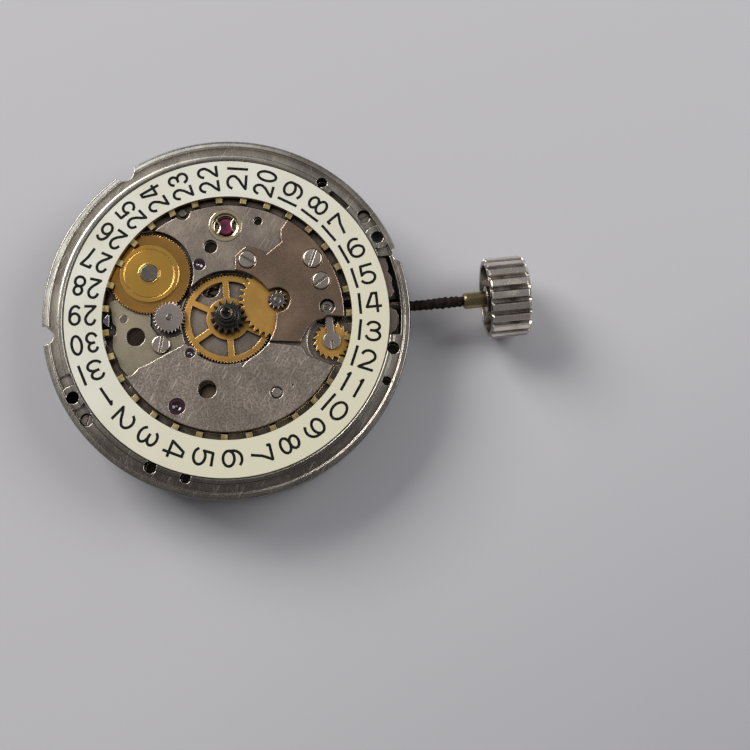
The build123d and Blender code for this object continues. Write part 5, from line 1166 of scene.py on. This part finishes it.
@dataclass
class SlottedScrews:
    """The screws of one node, each with a rounded head, a slot and a shank."""

    node: str
    turns: tuple
    facing: float = 1.0
    slot: str = "screw_steel"
    slot_width: float = 0.27
    slot_depth: float = 0.19
    slot_length: float = 2.4
    head: float = 0.34
    head_edge: tuple = ((1.0, -0.13), (0.965, -0.05), (0.88, -0.008), (0.0, 0.0))
    shank: float = 0.46
    shank_gap: float = 0.002
    sides: int = 36
    shank_sides: int = 16

    def build(self, finish: bpy.types.Material) -> bpy.types.Object:
        """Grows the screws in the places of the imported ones.

        Args:
            finish: the screws' finish.

        Returns:
            The screws as one piece.
        """
        recipe = Recipe(f"slotted_{self.node}")
        width = recipe.named("Slot Width Share", self.slot_width)
        depth = recipe.named("Slot Depth Share", self.slot_depth)
        flip = recipe.named("Facing", self.facing)
        spots, lengths = [], []
        for (low, high), turn in zip(solids_of(self.node), self.turns):
            top = high.z if self.facing > 0 else low.z
            spots.append(spot_on((low, high), top, math.radians(turn)))
            lengths.append((high.z - low.z) / spots[-1][1])
        under, end = -self.head, -min(lengths)
        head = recipe.turned([(0.0, under), (1.0, under), *self.head_edge], self.sides)
        tall = recipe.math("MULTIPLY", depth, 2.0)
        size = recipe.add("ShaderNodeCombineXYZ", X=self.slot_length, Y=width, Z=tall)
        cutter = recipe.add("GeometryNodeMeshCube", Size=size.outputs[0])
        cut = recipe.add("GeometryNodeMeshBoolean", {"operation": "DIFFERENCE"})
        recipe.fill(cut.inputs[0], head)
        recipe.fill(cut.inputs[1], cutter.outputs[0])
        reach, start = self.shank, under - self.shank_gap
        shank = recipe.turned(
            [(0.0, end), (reach, end), (reach, start), (0.0, start)], self.shank_sides
        )
        unit = recipe.joined(cut.outputs[0], shank)
        piece = recipe.grown(recipe.spread(unit, flip), finish, spots)
        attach(piece, "frame")
        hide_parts(self.node)
        return piece


@dataclass
class PiercedJewels:
    """The pierced jewels of one node, each with a rounded rim and an oil cup."""

    node: str
    slot: str = "ruby"
    sides: int = 32
    thickness: float = 0.45
    hole: float = 0.20
    rim: tuple = ((1.0, -0.08), (0.95, 0.0))
    cup: float = 0.62
    cup_wall: tuple = ((0.86, -0.10), (0.5, -0.20))
    cup_floor: float = 0.24

    def build(self, finish: bpy.types.Material) -> bpy.types.Object:
        """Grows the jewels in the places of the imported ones.

        Args:
            finish: the stones' finish.

        Returns:
            The jewels as one piece.
        """
        recipe = Recipe(f"cupped_{self.node}")
        cup = recipe.named("Cup Share", self.cup)
        spots = [spot_on(box, box[1].z) for box in solids_of(self.node)]
        hole, deep = self.hole, -self.thickness
        wall = [(recipe.math("MULTIPLY", cup, share), low) for share, low in self.cup_wall]
        ring = [
            (hole, deep), (1.0, deep), *self.rim,
            (cup, 0.0), *wall, (hole, -self.cup_floor), (hole, deep),
        ]
        unit = recipe.turned(ring, self.sides)
        piece = recipe.grown(recipe.spread(unit, 1.0), finish, spots)
        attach(piece, "frame")
        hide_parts(self.node)
        return piece


@dataclass
class LyreSprings:
    """The two shock springs: a thin ring with two arms that bend in over the jewel."""

    ring_reach: float = 0.84
    wire_width: float = 0.10
    wire_height: float = 0.05
    ring_steps: int = 48
    arm_start: Point = (0.66, 0.52)
    arm_middle: float = 0.12
    arm_steps: int = 16

    def build(self, finish: bpy.types.Material) -> bpy.types.Object:
        """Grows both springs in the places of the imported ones.

        Args:
            finish: the springs' finish.

        Returns:
            The springs as one piece.
        """
        recipe = Recipe("lyre_springs")
        width = recipe.named("Wire Width", self.wire_width)
        wire = recipe.add(
            "GeometryNodeCurvePrimitiveQuadrilateral", Width=width, Height=self.wire_height
        )
        ring = recipe.add(
            "GeometryNodeCurvePrimitiveCircle", Resolution=self.ring_steps, Radius=self.ring_reach
        )
        paths = [ring.outputs[0]]
        x, y = self.arm_start
        for side in (-1.0, 1.0):
            arm = recipe.add("GeometryNodeCurveQuadraticBezier", Resolution=self.arm_steps)
            bend = {"Start": (x, -y), "Middle": (self.arm_middle, 0.0), "End": (x, y)}
            for key, (across, along) in bend.items():
                arm.inputs[key].default_value = (side * across, along, 0.0)
            paths.append(arm.outputs[0])
        swept = recipe.add(
            "GeometryNodeCurveToMesh", Curve=recipe.joined(*paths), Profile_Curve=wire.outputs[0]
        )
        swept.inputs["Fill Caps"].default_value = True
        axis = middle_of("balance_staff")
        heights = [(low.z + high.z) / 2 for low, high in solids_of("shock_springs")]
        spots = [((axis.x, axis.y, height), 1.0, 0.0) for height in heights]
        piece = recipe.grown(recipe.spread(swept.outputs[0], 1.0), finish, spots)
        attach(piece, "frame")
        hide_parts("shock_springs")
        return piece


@dataclass
class FlutedCrown:
    """The crown: flat-topped ridges round it and a hollow in its inner face.

    A rim's rings each have a share of the radius, a distance from their own end and a share of
    the flutes' depth.
    """

    inner_end: float = 18.80
    length: float = 3.0
    radius: float = 2.93
    flutes: int = 20
    flute_depth: float = 0.23
    flute_shape: tuple = (1.0, 0.90, 0.0, 0.0, 0.0, 0.0, 0.0, 0.90)
    hollow: float = 0.80
    hollow_share: float = 0.82
    boss: float = 0.95
    boss_sunk: float = 0.02
    inner_rim: tuple = (
        (0.85, 0.03, 0.0), (0.87, 0.0, 0.0), (0.925, 0.0, 0.1), (0.975, 0.06, 0.8),
        (1.0, 0.16, 1.0),
    )
    outer_rim: tuple = (
        (1.0, 0.26, 1.0), (0.955, 0.08, 0.6), (0.89, 0.0, 0.0), (0.80, 0.0, 0.0),
        (0.0, 0.0, 0.0),
    )

    def build(self, finish: bpy.types.Material) -> bpy.types.Object:
        """Grows the crown from one bent sheet.

        Args:
            finish: the crown's finish.

        Returns:
            The crown as one piece.
        """
        recipe = Recipe("fluted_crown")
        depth = recipe.named("Flute Depth", self.flute_depth)
        radius, end, boss, sunk = self.radius, self.length, self.boss, self.boss_sunk
        rings = [
            (0.0, sunk, 0.0), (boss, sunk, 0.0), (boss, self.hollow, 0.0),
            (radius * self.hollow_share, self.hollow, 0.0),
            *((radius * share, off, full) for share, off, full in self.inner_rim),
            *((radius * share, end - off, full) for share, off, full in self.outer_rim),
        ]
        steps = len(self.flute_shape)
        sides = self.flutes * steps
        grid, share, angle, station = recipe.sheet(sides, len(rings))
        order = recipe.math("ROUND", recipe.math("MULTIPLY", share, float(sides)))
        within = recipe.math("MODULO", order, float(steps))
        groove = recipe.choose(within, self.flute_shape)
        reach, height, full = (recipe.choose(station, column) for column in zip(*rings))
        cut = recipe.math("MULTIPLY", recipe.math("MULTIPLY", groove, full), depth)
        body = recipe.bent(grid, angle, recipe.math("SUBTRACT", reach, cut), height)
        laid = recipe.moved(body, (self.inner_end, 0.0, STEM_HEIGHT), ALONG_STEM)
        piece = recipe.grown(laid, finish)
        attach(piece, "stem")
        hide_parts("crown")
        return piece


@dataclass
class CrownSleeve:
    """The brass sleeve between the stem and the crown, rounded at its free end."""

    sides: int = 40
    round_over: float = 0.26
    neck: float = 0.62
    quarter: tuple = (0.0, 30.0, 60.0, 90.0)

    def build(self, finish: bpy.types.Material) -> bpy.types.Object:
        """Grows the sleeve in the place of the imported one.

        Args:
            finish: the sleeve's finish.

        Returns:
            The sleeve as one piece.
        """
        recipe = Recipe("crown_sleeve")
        ease = recipe.named("Round Over", self.round_over)
        low, high = box_of("crown_tube")
        reach, length = (high.z - low.z) / 2, high.x - low.x
        rings: list[tuple[object, object]] = [(0.0, 0.0)]
        for degrees in self.quarter:
            angle = math.radians(degrees)
            share = reach * (self.neck + (1 - self.neck) * math.sin(angle))
            rings.append((share, recipe.math("MULTIPLY", ease, 1 - math.cos(angle))))
        rings += [(reach, length), (0.0, length)]
        body = recipe.turned(rings, self.sides)
        start = (low.x, (low.y + high.y) / 2, (low.z + high.z) / 2)
        laid = recipe.moved(body, start, ALONG_STEM)
        piece = recipe.grown(laid, finish)
        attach(piece, "stem")
        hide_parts("crown_tube")
        return piece


@dataclass
class RustyThread:
    """The rough thread on the bare end of the stem."""

    start: float = 12.9
    end: float = 17.05
    radius: float = 0.335
    relief: float = 0.030
    swelling: float = 0.055
    swelling_turn: float = 2.6
    lumps: float = 0.22
    lumps_scale: float = 2.4
    pitch: float = 0.42
    stations: int = 150
    sides: int = 24

    def build(self, finish: bpy.types.Material) -> bpy.types.Object:
        """Grows the thread as a wavy sleeve on the stem.

        Args:
            finish: the rust.

        Returns:
            The thread as one piece.
        """
        recipe = Recipe("rusty_thread")
        pitch = recipe.named("Pitch", self.pitch)
        relief = recipe.named("Relief", self.relief)
        grid, _, angle, station = recipe.sheet(self.sides, self.stations)
        length = self.end - self.start
        along = recipe.math("MULTIPLY", station, length / (self.stations - 1))
        turns = recipe.math("DIVIDE", recipe.math("MULTIPLY", along, math.tau), pitch)
        wave = recipe.math("SINE", recipe.math("ADD", turns, angle))
        wave = recipe.math("MULTIPLY", wave, relief)
        across, up = recipe.math("COSINE", angle), recipe.math("SINE", angle)
        spot = recipe.add("ShaderNodeCombineXYZ", X=across, Y=up, Z=along).outputs[0]
        rough = recipe.add("ShaderNodeTexNoise", Vector=spot, Scale=self.lumps_scale, Detail=3.0)
        lumps = recipe.math("MULTIPLY_ADD", rough.outputs[0], self.lumps, -self.lumps / 2)
        swell = recipe.math("SINE", recipe.math("MULTIPLY", along, self.swelling_turn / length))
        swell = recipe.math("MULTIPLY", swell, self.swelling)
        swell = recipe.math("ADD", swell, self.radius)
        reach = recipe.math("ADD", recipe.math("ADD", wave, lumps), swell)
        reach = recipe.math("MAXIMUM", reach, self.radius)
        for test, limit in (("GREATER_THAN", 0.5), ("LESS_THAN", self.stations - 1.5)):
            reach = recipe.math("MULTIPLY", reach, recipe.math(test, station, limit))
        body = recipe.bent(grid, angle, reach, along)
        laid = recipe.moved(body, (self.start, 0.0, STEM_HEIGHT), ALONG_STEM)
        piece = recipe.grown(laid, finish)
        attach(piece, "stem")
        return piece


@dataclass
class SecondsTip:
    """The black domed end of the arbor that stands in the cannon pinion."""

    radius: float = 0.34
    collar: float = 0.30
    dome: float = 0.24
    rise: tuple = (0.0, 20.0, 40.0, 60.0, 78.0)
    sides: int = 28

    def build(self, finish: bpy.types.Material) -> bpy.types.Object:
        """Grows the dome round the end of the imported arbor.

        Args:
            finish: the black polish.

        Returns:
            The dome as one piece.
        """
        recipe = Recipe("seconds_tip")
        reach = recipe.named("Radius", self.radius)
        low = -self.dome - self.collar
        rings: list[tuple[object, object]] = [(0.0, low), (reach, low)]
        for degrees in self.rise:
            angle = math.radians(degrees)
            share = recipe.math("MULTIPLY", reach, math.cos(angle))
            rings.append((share, self.dome * (math.sin(angle) - 1.0)))
        rings.append((0.0, 0.0))
        top = box_of("fourth_wheel")[1].z
        laid = recipe.moved(recipe.turned(rings, self.sides), (*HANDS_AXIS, top))
        piece = recipe.grown(laid, finish)
        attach(piece, "fourth")
        return piece


@dataclass
class KeylessPlate:
    """The worn plate over the levers beside the stem, seen in the slot of the rim."""

    outline: tuple = (
        (11.00, 3.60), (11.62, 3.30), (11.78, 2.75), (11.70, 2.30), (11.95, 1.80),
        (11.86, 1.25), (12.02, 0.80), (11.75, 0.42), (11.30, 0.30), (11.28, -0.10),
        (11.60, -0.38), (11.98, -0.62), (12.14, -1.10), (12.06, -1.62), (11.80, -2.02),
        (11.40, -2.30), (11.00, -2.42),
    )
    top: float = -0.62
    thickness: float = 0.26

    def build(self, finish: bpy.types.Material) -> bpy.types.Object:
        """Makes the plate from its outline.

        Args:
            finish: the plate's finish.

        Returns:
            The plate as one piece.
        """
        shape = bmesh.new()
        corners = [shape.verts.new(Vector((x, y, self.top)) * MM) for x, y in self.outline]
        thicken(shape, [shape.faces.new(corners)], self.thickness)
        bmesh.ops.triangulate(shape, faces=shape.faces)
        mesh = bpy.data.meshes.new("keyless_plate")
        shape.to_mesh(mesh)
        shape.free()
        mesh.materials.append(finish)
        piece = finished("keyless_plate", mesh)
        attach(piece, "frame")
        return piece


def arc(centre: Point, reach: Point, start: float, end: float, steps: int = 14) -> list[Point]:
    """Gives points along an arc of an ellipse.

    Args:
        centre: the ellipse's middle.
        reach: its half width and half height.
        start: first angle in degrees.
        end: last angle in degrees.
        steps: how many pieces the arc is cut into.

    Returns:
        The points.
    """
    points = []
    for step in range(steps + 1):
        angle = math.radians(start + (end - start) * step / steps)
        x = centre[0] + reach[0] * math.cos(angle)
        points.append((x, centre[1] + reach[1] * math.sin(angle)))
    return points


# Each digit's strokes in a square of side one. "I" is the 1 with a flag, which stands alone.
DIGIT_STROKES: dict[str, list[list[Point]]] = {
    "0": [arc((0.5, 0.5), (0.5, 0.5), 0, 360, 32)],
    "1": [[(0.5, 1.0), (0.5, 0.0)]],
    "I": [[(0.30, 0.88), (0.5, 1.0), (0.5, 0.0)]],
    "2": [
        arc((0.5, 0.70), (0.48, 0.30), 165, -25)
        + [(0.70, 0.38), (0.30, 0.18), (0.02, 0.0), (1.0, 0.0)],
    ],
    "3": [
        arc((0.48, 0.765), (0.44, 0.235), 160, -80),
        [(0.34, 0.53), (0.55, 0.53)],
        arc((0.50, 0.265), (0.50, 0.265), 85, -160, 18),
    ],
    "4": [[(1.0, 0.27), (0.0, 0.27), (0.44, 1.0), (0.76, 1.0)], [(0.76, 1.0), (0.76, 0.0)]],
    "5": [
        [(0.93, 1.0), (0.16, 1.0), (0.09, 0.52)]
        + arc((0.48, 0.31), (0.52, 0.31), 140, -155, 20),
    ],
    "6": [
        arc((0.5, 0.30), (0.5, 0.30), 0, 360, 28),
        arc((0.56, 0.55), (0.56, 0.45), 55, 180) + [(0.0, 0.30)],
    ],
    "7": [[(0.02, 0.90), (0.02, 1.0), (1.0, 1.0), (0.62, 0.50), (0.42, 0.0)]],
    "8": [
        arc((0.5, 0.76), (0.42, 0.24), 0, 360, 24),
        arc((0.5, 0.26), (0.5, 0.26), 0, 360, 28),
    ],
    "9": [
        arc((0.5, 0.70), (0.5, 0.30), 0, 360, 28),
        arc((0.44, 0.45), (0.56, 0.45), -125, 0) + [(1.0, 0.70)],
    ],
}


@dataclass
class DateNumerals:
    """The numbers 1 to 31 printed round the date ring, upright when they stand at 3 o'clock."""

    days: int = 31
    day_at_three: int = 14
    height: float = 1.52
    stroke: float = 0.20
    ink: float = 0.006
    ink_depth: float = 0.0078
    ring_top: float = -0.10
    bend_corners: int = 10
    weld: float = 1e-5
    single: tuple = (1.28, 10.14)
    beside_bar: tuple = (1.18, 10.40)
    before_bar: tuple = (1.16, 9.91)
    pair: tuple = (0.89, 9.63, 10.72)
    bars: tuple = (9.43, 10.93)
    elevens: tuple = (9.60, 10.62)

    def places(self, day: int) -> list[tuple[str, float, float]]:
        """Says which strokes a day is made of, how wide each digit is and where it stands.

        Args:
            day: the day's number.

        Returns:
            For each digit its key, width and middle, in millimetres.
        """
        text = str(day)
        if day == 1:
            return [("I", self.single[0] / 2, self.single[1])]
        if text == "11":
            return [("I", self.single[0] / 2, x) for x in self.elevens]
        if len(text) == 1:
            return [(text, *self.single)]
        if text[0] == "1":
            return [("1", self.pair[0], self.bars[0]), (text[1], *self.beside_bar)]
        if text[1] == "1":
            return [(text[0], *self.before_bar), ("1", self.pair[0], self.bars[1])]
        return [(text[0], self.pair[0], self.pair[1]), (text[1], self.pair[0], self.pair[2])]

    def lengthened(self, path: list[Point], extra: float) -> list[Point]:
        """Lengthens a path at both ends, unless it closes on itself.

        Args:
            path: the path's points.
            extra: how much is added at each end.

        Returns:
            The new points.
        """
        if math.dist(path[0], path[-1]) < extra:
            return path
        ends = []
        for tip, inner in ((path[0], path[1]), (path[-1], path[-2])):
            share = extra / math.dist(tip, inner)
            ends.append(tuple(a + (a - b) * share for a, b in zip(tip, inner)))
        return [ends[0], *path[1:-1], ends[1]]

    def bands(self, path: list[Point], first: int) -> tuple[list[Point], list[list[int]]]:
        """Widens a path into quadrilaterals with a round patch at each bend.

        Args:
            path: the stroke's middle line, in millimetres.
            first: index of the next point.

        Returns:
            The corner points and the faces as indices.
        """
        shapes: list[list[Point]] = []
        half = self.stroke / 2
        path = self.lengthened(path, half)
        for (ax, ay), (bx, by) in zip(path, path[1:]):
            length = math.hypot(bx - ax, by - ay)
            nx, ny = (ay - by) / length * half, (bx - ax) / length * half
            shapes.append(
                [(ax + nx, ay + ny), (ax - nx, ay - ny), (bx - nx, by - ny), (bx + nx, by + ny)]
            )
        around = [corner * math.tau / self.bend_corners for corner in range(self.bend_corners)]
        for x, y in path[1:-1]:
            shapes.append([(x + half * math.cos(a), y + half * math.sin(a)) for a in around])
        points: list[Point] = []
        faces: list[list[int]] = []
        for corners in shapes:
            start = first + len(points)
            points += corners
            faces.append(list(range(start, start + len(corners))))
        return points, faces

    def glyph(self, key: str, width: float) -> tuple[list[Point], list[list[int]]]:
        """Joins a digit's strokes into one flat sheet of triangles.

        Args:
            key: which digit.
            width: its width in millimetres.

        Returns:
            The points, centred, and the triangles.
        """
        points: list[Point] = []
        faces: list[list[int]] = []
        across, up = width - self.stroke, self.height - self.stroke
        for path in DIGIT_STROKES[key]:
            line = [((x - 0.5) * across, (y - 0.5) * up) for x, y in path]
            more, quads = self.bands(line, len(points))
            points += more
            faces += quads
        spots = [Vector(point) for point in points]
        flat = delaunay_2d_cdt(spots, [], faces, INSIDE_OUTLINES, self.weld)
        corners, _, triangles, _, _, origins = flat
        inside = [list(three) for three, origin in zip(triangles, origins) if origin]
        return [(corner.x, corner.y) for corner in corners], inside

    def build(self, ink: bpy.types.Material) -> bpy.types.Object:
        """Prints every day on the ring.

        Args:
            ink: the finish of the print.

        Returns:
            The numerals, as one piece that rides on the date ring.
        """
        shape = bmesh.new()
        top = self.ring_top + self.ink
        for day in range(1, self.days + 1):
            turn = math.radians((day - self.day_at_three) * 360 / self.days)
            spin = Matrix.Rotation(turn, 3, "Z")
            for key, width, middle in self.places(day):
                points, triangles = self.glyph(key, width)
                spots = [spin @ Vector((middle + x, y, top)) * MM for x, y in points]
                corners = [shape.verts.new(spot) for spot in spots]
                tops = [shape.faces.new([corners[i] for i in three]) for three in triangles]
                thicken(shape, tops, self.ink_depth)
        bmesh.ops.recalc_face_normals(shape, faces=shape.faces)
        mesh = bpy.data.meshes.new("date_numerals")
        shape.to_mesh(mesh)
        shape.free()
        mesh.materials.append(ink)
        piece = linked("date_numerals", mesh)
        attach(piece, "date_ring")
        return piece


@dataclass
class Workshop:
    """The finishes of the whole movement and which node wears which."""

    own_finish: dict[str, str] = field(
        default_factory=lambda: {
            "fourth_wheel": "centre_wheel_brass",
            "minute_pinion": "pinion_steel",
            "main_plate": "main_plate_nickel",
            "dial_side_studs": "stud_steel",
            "barrel_drum": "barrel_brass",
        }
    )
    train: tuple = ("second_wheel", "third_wheel", "minute_wheel", "corrector_wheel")
    arbor: float = 0.5
    arbor_steel: Colour = (0.20, 0.18, 0.16)
    # Holes in the main plate whose floors get painted shade.
    plate_holes: tuple = (
        ((-0.80, 5.30), 0.50),
        ((2.75, 6.87), 0.32),
        ((-6.65, -0.70), 0.68),
        ((7.62, 9.20), 0.40),
        ((11.45, -3.45), 0.46),
        ((10.75, -5.75), 0.33),
        ((-6.20, -10.15), 0.45),
        ((-3.85, -11.15), 0.38),
    )

    def finishes(self) -> dict[str, bpy.types.Material]:
        """Makes every finish once.

        Returns:
            The materials by name.
        """
        scratched, straight, turned = Grain.SCRATCHED, Grain.STRAIGHT, Grain.TURNED
        # Colour of the painted edge highlight and of the lighter grain on gilt parts.
        bright: Colour = (1.0, 0.76, 0.36)
        wheel = partial(
            Metal, colour=(0.86, 0.47, 0.12), tarnish=(0.55, 0.26, 0.06), roughness=0.32,
            grain=turned, edge_colour=bright,
        )
        made: list[Metal] = [
            Metal(
                "satin_nickel", (0.40, 0.325, 0.262), (0.25, 0.195, 0.152), 0.33,
                grain=scratched, grain_scale=7.0, grain_light=0.46, dirt_reach=1.5,
            ),
            RimMetal(
                "main_plate_nickel", (0.44, 0.355, 0.285), (0.30, 0.235, 0.18), 0.30,
                grain=scratched, grain_light=0.24, dirt_reach=1.5, pits=self.plate_holes,
                edge=0.06,
            ),
            Metal(
                "bridge_nickel", (0.58, 0.50, 0.42), (0.36, 0.285, 0.225), 0.28, 0.03, 0.15,
                grain=straight, grain_turn=40.0, dirt_reach=2.2,
            ),
            Metal(
                "guard_steel", (0.345, 0.235, 0.163), (0.24, 0.16, 0.105), 0.30,
                grain_depth=0.0006, grain_light=0.08,
            ),
            Metal("jumper_plate_metal", (0.45, 0.385, 0.27), (0.32, 0.265, 0.17), 0.34),
            wheel("gilt_brass"),
            wheel("centre_wheel_brass", core=self.arbor, core_colour=(0.022, 0.020, 0.019)),
            Metal(
                "barrel_brass", (0.62, 0.47, 0.31), (0.40, 0.29, 0.19), 0.34, grain=turned,
                centre=(2.95, -5.80),
            ),
            ToothedMetal(
                "turned_gold", (0.96, 0.53, 0.10), (0.70, 0.34, 0.05), 0.22, grain=turned,
                centre=(-5.30, 3.75), core=0.62, core_colour=(0.26, 0.195, 0.155),
                edge_colour=bright, dirt_share=0.38,
            ),
            Metal(
                "polished_steel", (0.52, 0.44, 0.385), (0.34, 0.28, 0.24), 0.26, edge_share=0.35
            ),
            Metal("pinion_steel", (0.24, 0.21, 0.185), (0.14, 0.12, 0.10), 0.24, edge_share=0.45),
            Metal(
                "dark_steel", (0.070, 0.066, 0.064), (0.04, 0.037, 0.035), 0.30,
                edge_colour=(0.40, 0.37, 0.34), edge_share=0.2,
            ),
            Metal("stud_steel", (0.24, 0.205, 0.17), (0.15, 0.12, 0.10), 0.28, edge_share=0.4),
            Metal(
                "lever_steel", (0.44, 0.355, 0.285), (0.20, 0.15, 0.12), 0.30,
                tarnish_share=0.7, tarnish_scale=0.9, dirt_reach=1.2,
            ),
            Metal(
                "black_polish", (0.030, 0.028, 0.027), (0.018, 0.017, 0.016), 0.12, 0.04,
                edge_share=0.0, dirt_share=0.2,
            ),
            Metal(
                "screw_steel", (0.62, 0.53, 0.44), (0.42, 0.34, 0.27), 0.24, grain=straight,
                grain_turn=10.0, edge_share=0.5,
            ),
            Metal("blued_spring", (0.17, 0.18, 0.21), (0.10, 0.10, 0.13), 0.28),
            Metal(
                "gilt_setting", (0.95, 0.76, 0.47), (0.66, 0.49, 0.27), 0.12,
                edge_colour=(1.0, 0.95, 0.82), dirt_share=0.7,
            ),
            Metal("olive_brass", (0.33, 0.26, 0.12), (0.18, 0.135, 0.06), 0.22),
            CrownMetal(
                "worn_crown", (0.80, 0.72, 0.63), (0.46, 0.395, 0.33), 0.26,
                tarnish_share=0.6, tarnish_scale=0.9, grain=scratched,
            ),
            Metal(
                "balance_gilt", (0.70, 0.54, 0.30), (0.50, 0.36, 0.18), 0.20, grain=turned,
                centre=(0.40, 6.75),
            ),
        ]
        for name in self.train:
            axis, steel = middle_of(name), self.arbor_steel
            made.append(
                wheel(f"{name}_brass", centre=(axis.x, axis.y), core=self.arbor, core_colour=steel)
            )
        shelf = {finish.name: finish.build() for finish in made}
        dark_stone = Ruby("dark_ruby", (0.050, 0.003, 0.018), (0.012, 0.001, 0.005))
        for special in (Lacquer(), Ruby(), dark_stone, Rust(), Ink(), Paper()):
            shelf[special.name] = special.build()
        return shelf

    def wears(self) -> dict[str, str]:
        """Says which finish each material slot of the record gets.

        Returns:
            Finish names by slot.
        """
        return {
            "plate": "satin_nickel",
            "bridge": "bridge_nickel",
            "guard": "guard_steel",
            "jumper_plate": "jumper_plate_metal",
            "wheel_brass": "gilt_brass",
            "wheel_gold": "turned_gold",
            "steel": "polished_steel",
            "dark_steel": "dark_steel",
            "stem_steel": "rusty_stem",
            "screw_steel": "screw_steel",
            "ring_lacquer": "ring_lacquer",
            "ruby": "ruby",
            "gold_setting": "gilt_setting",
            "balance_metal": "balance_gilt",
            "spring_steel": "blued_spring",
            "tube_brass": "olive_brass",
            "crown_steel": "worn_crown",
        }

    def dress(self, shelf: dict[str, bpy.types.Material]) -> int:
        """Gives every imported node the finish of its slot.

        Args:
            shelf: the materials by name.

        Returns:
            How many nodes were dressed.
        """
        wears = self.wears()
        own = self.own_finish | {wheel: f"{wheel}_brass" for wheel in self.train}
        for part in frame["record"]["subparts"]:
            node = frame["nodes"][part["node"]]
            node.data.materials.clear()
            finish = own.get(part["node"], wears[part["material_slot"]])
            node.data.materials.append(shelf[finish])
        return len(frame["record"]["subparts"])


@dataclass
class Studio:
    """The pale floor, the soft lights and the camera."""

    camera_at: tuple = (5.065, -19.674, 83.185)
    camera_turn: tuple = (10.1042, -2.2890, -6.1024)
    lens: float = 57.6
    film: float = 36.0
    nearest: float = 5.0
    floor_half: float = 600.0
    bright_side: tuple = (-0.62, 0.62, 0.48)
    bright_from: float = 0.30
    dim: float = 0.17
    bright: float = 0.37
    sky_tint: Colour = (0.95, 0.96, 1.0)
    lamps: tuple = (
        ("window", (-230.0, 255.0, 265.0), 230.0, 1.75, (1.0, 0.985, 0.96)),
        ("fill", (260.0, 60.0, 260.0), 220.0, 0.60, (0.97, 0.98, 1.0)),
    )

    def floor(self, paper: bpy.types.Material) -> bpy.types.Object:
        """Lays the floor under the lowest point.

        Args:
            paper: the floor's finish.

        Returns:
            The floor.
        """
        half, low = self.floor_half * MM, cad_low.z
        corners = [(-half, -half, low), (half, -half, low), (half, half, low), (-half, half, low)]
        mesh = bpy.data.meshes.new("floor")
        mesh.from_pydata(corners, [], [(0, 1, 2, 3)])
        mesh.materials.append(paper)
        floor = linked("floor", mesh)
        return floor

    def lamp(self, name: str, at: tuple, size: float, watts: float, colour: Colour) -> None:
        """Adds a soft square lamp that looks at the movement.

        Args:
            name: the lamp's name.
            at: its place in millimetres.
            size: its side in millimetres.
            watts: its power.
            colour: its colour.
        """
        light = bpy.data.lights.new(name, "AREA")
        light.shape, light.size, light.energy, light.color = "SQUARE", size * MM, watts, colour
        lamp = linked(name, light)
        lamp.location = Vector(at) * MM
        lamp.rotation_euler = (-lamp.location).to_track_quat("-Z", "Y").to_euler()

    def sky(self) -> None:
        """Fills the world with a pale grey that is lighter on the window's side."""
        world = bpy.data.worlds.new("room")
        world.use_nodes = True
        tree = Tree(world.node_tree)
        towards = tree.add("ShaderNodeTexCoord").outputs["Generated"]
        facing = tree.dot(towards, Vector(self.bright_side).normalized())
        light = tree.span(facing, self.bright_from, 1.0, self.dim, self.bright, Fade.SOFT)
        back = tree.add("ShaderNodeBackground", Color=self.sky_tint, Strength=light)
        tree.add("ShaderNodeOutputWorld", Surface=back.outputs[0])
        bpy.context.scene.world = world

    def camera(self) -> None:
        """Puts the camera where the photograph was taken from."""
        data = bpy.data.cameras.new("camera")
        data.lens, data.sensor_width, data.clip_start = self.lens, self.film, self.nearest * MM
        camera = linked("camera", data)
        camera.location = Vector(self.camera_at) * MM
        camera.rotation_euler = Euler([math.radians(a) for a in self.camera_turn], "XYZ")
        bpy.context.scene.camera = camera
        bpy.context.scene.view_settings.view_transform = "Standard"

    def build(self, paper: bpy.types.Material) -> None:
        """Sets up the floor, lights and camera.

        Args:
            paper: the floor's finish.
        """
        self.floor(paper)
        self.sky()
        for lamp in self.lamps:
            self.lamp(*lamp)
        self.camera()


def main() -> None:
    """Builds each piece in order."""
    logging.basicConfig(level=logging.INFO, format="%(message)s")
    workshop = Workshop()
    shelf = workshop.finishes()
    log.info("finishes: %d", len(shelf))
    log.info("nodes dressed: %d", workshop.dress(shelf))
    bridge_turns = (12.0, 47.0, 80.0, 20.0, 55.0, 70.0, 5.0, 35.0, 60.0)
    orders = (
        (SlottedScrews("dial_side_screws", (75.0, -35.0, 65.0, 33.0)), "screw_steel"),
        (SlottedScrews("dial_foot_screws", (70.0, 20.0)), "screw_steel"),
        (SlottedScrews("bridge_screws", bridge_turns, -1.0), "screw_steel"),
        (PiercedJewels("dial_side_jewels"), "dark_ruby"),
        (LyreSprings(), "gilt_setting"),
        (FlutedCrown(), "worn_crown"),
        (CrownSleeve(), "olive_brass"),
        (RustyThread(), "rusty_stem"),
        (SecondsTip(), "black_polish"),
        (KeylessPlate(), "lever_steel"),
        (DateNumerals(), "date_ink"),
    )
    for maker, finish in orders:
        piece = maker.build(shelf[finish])
        log.info("%s: %d faces", piece.name, len(piece.data.polygons))
    Studio().build(shelf["pale_floor"])


if __name__ == "__main__":
    main()
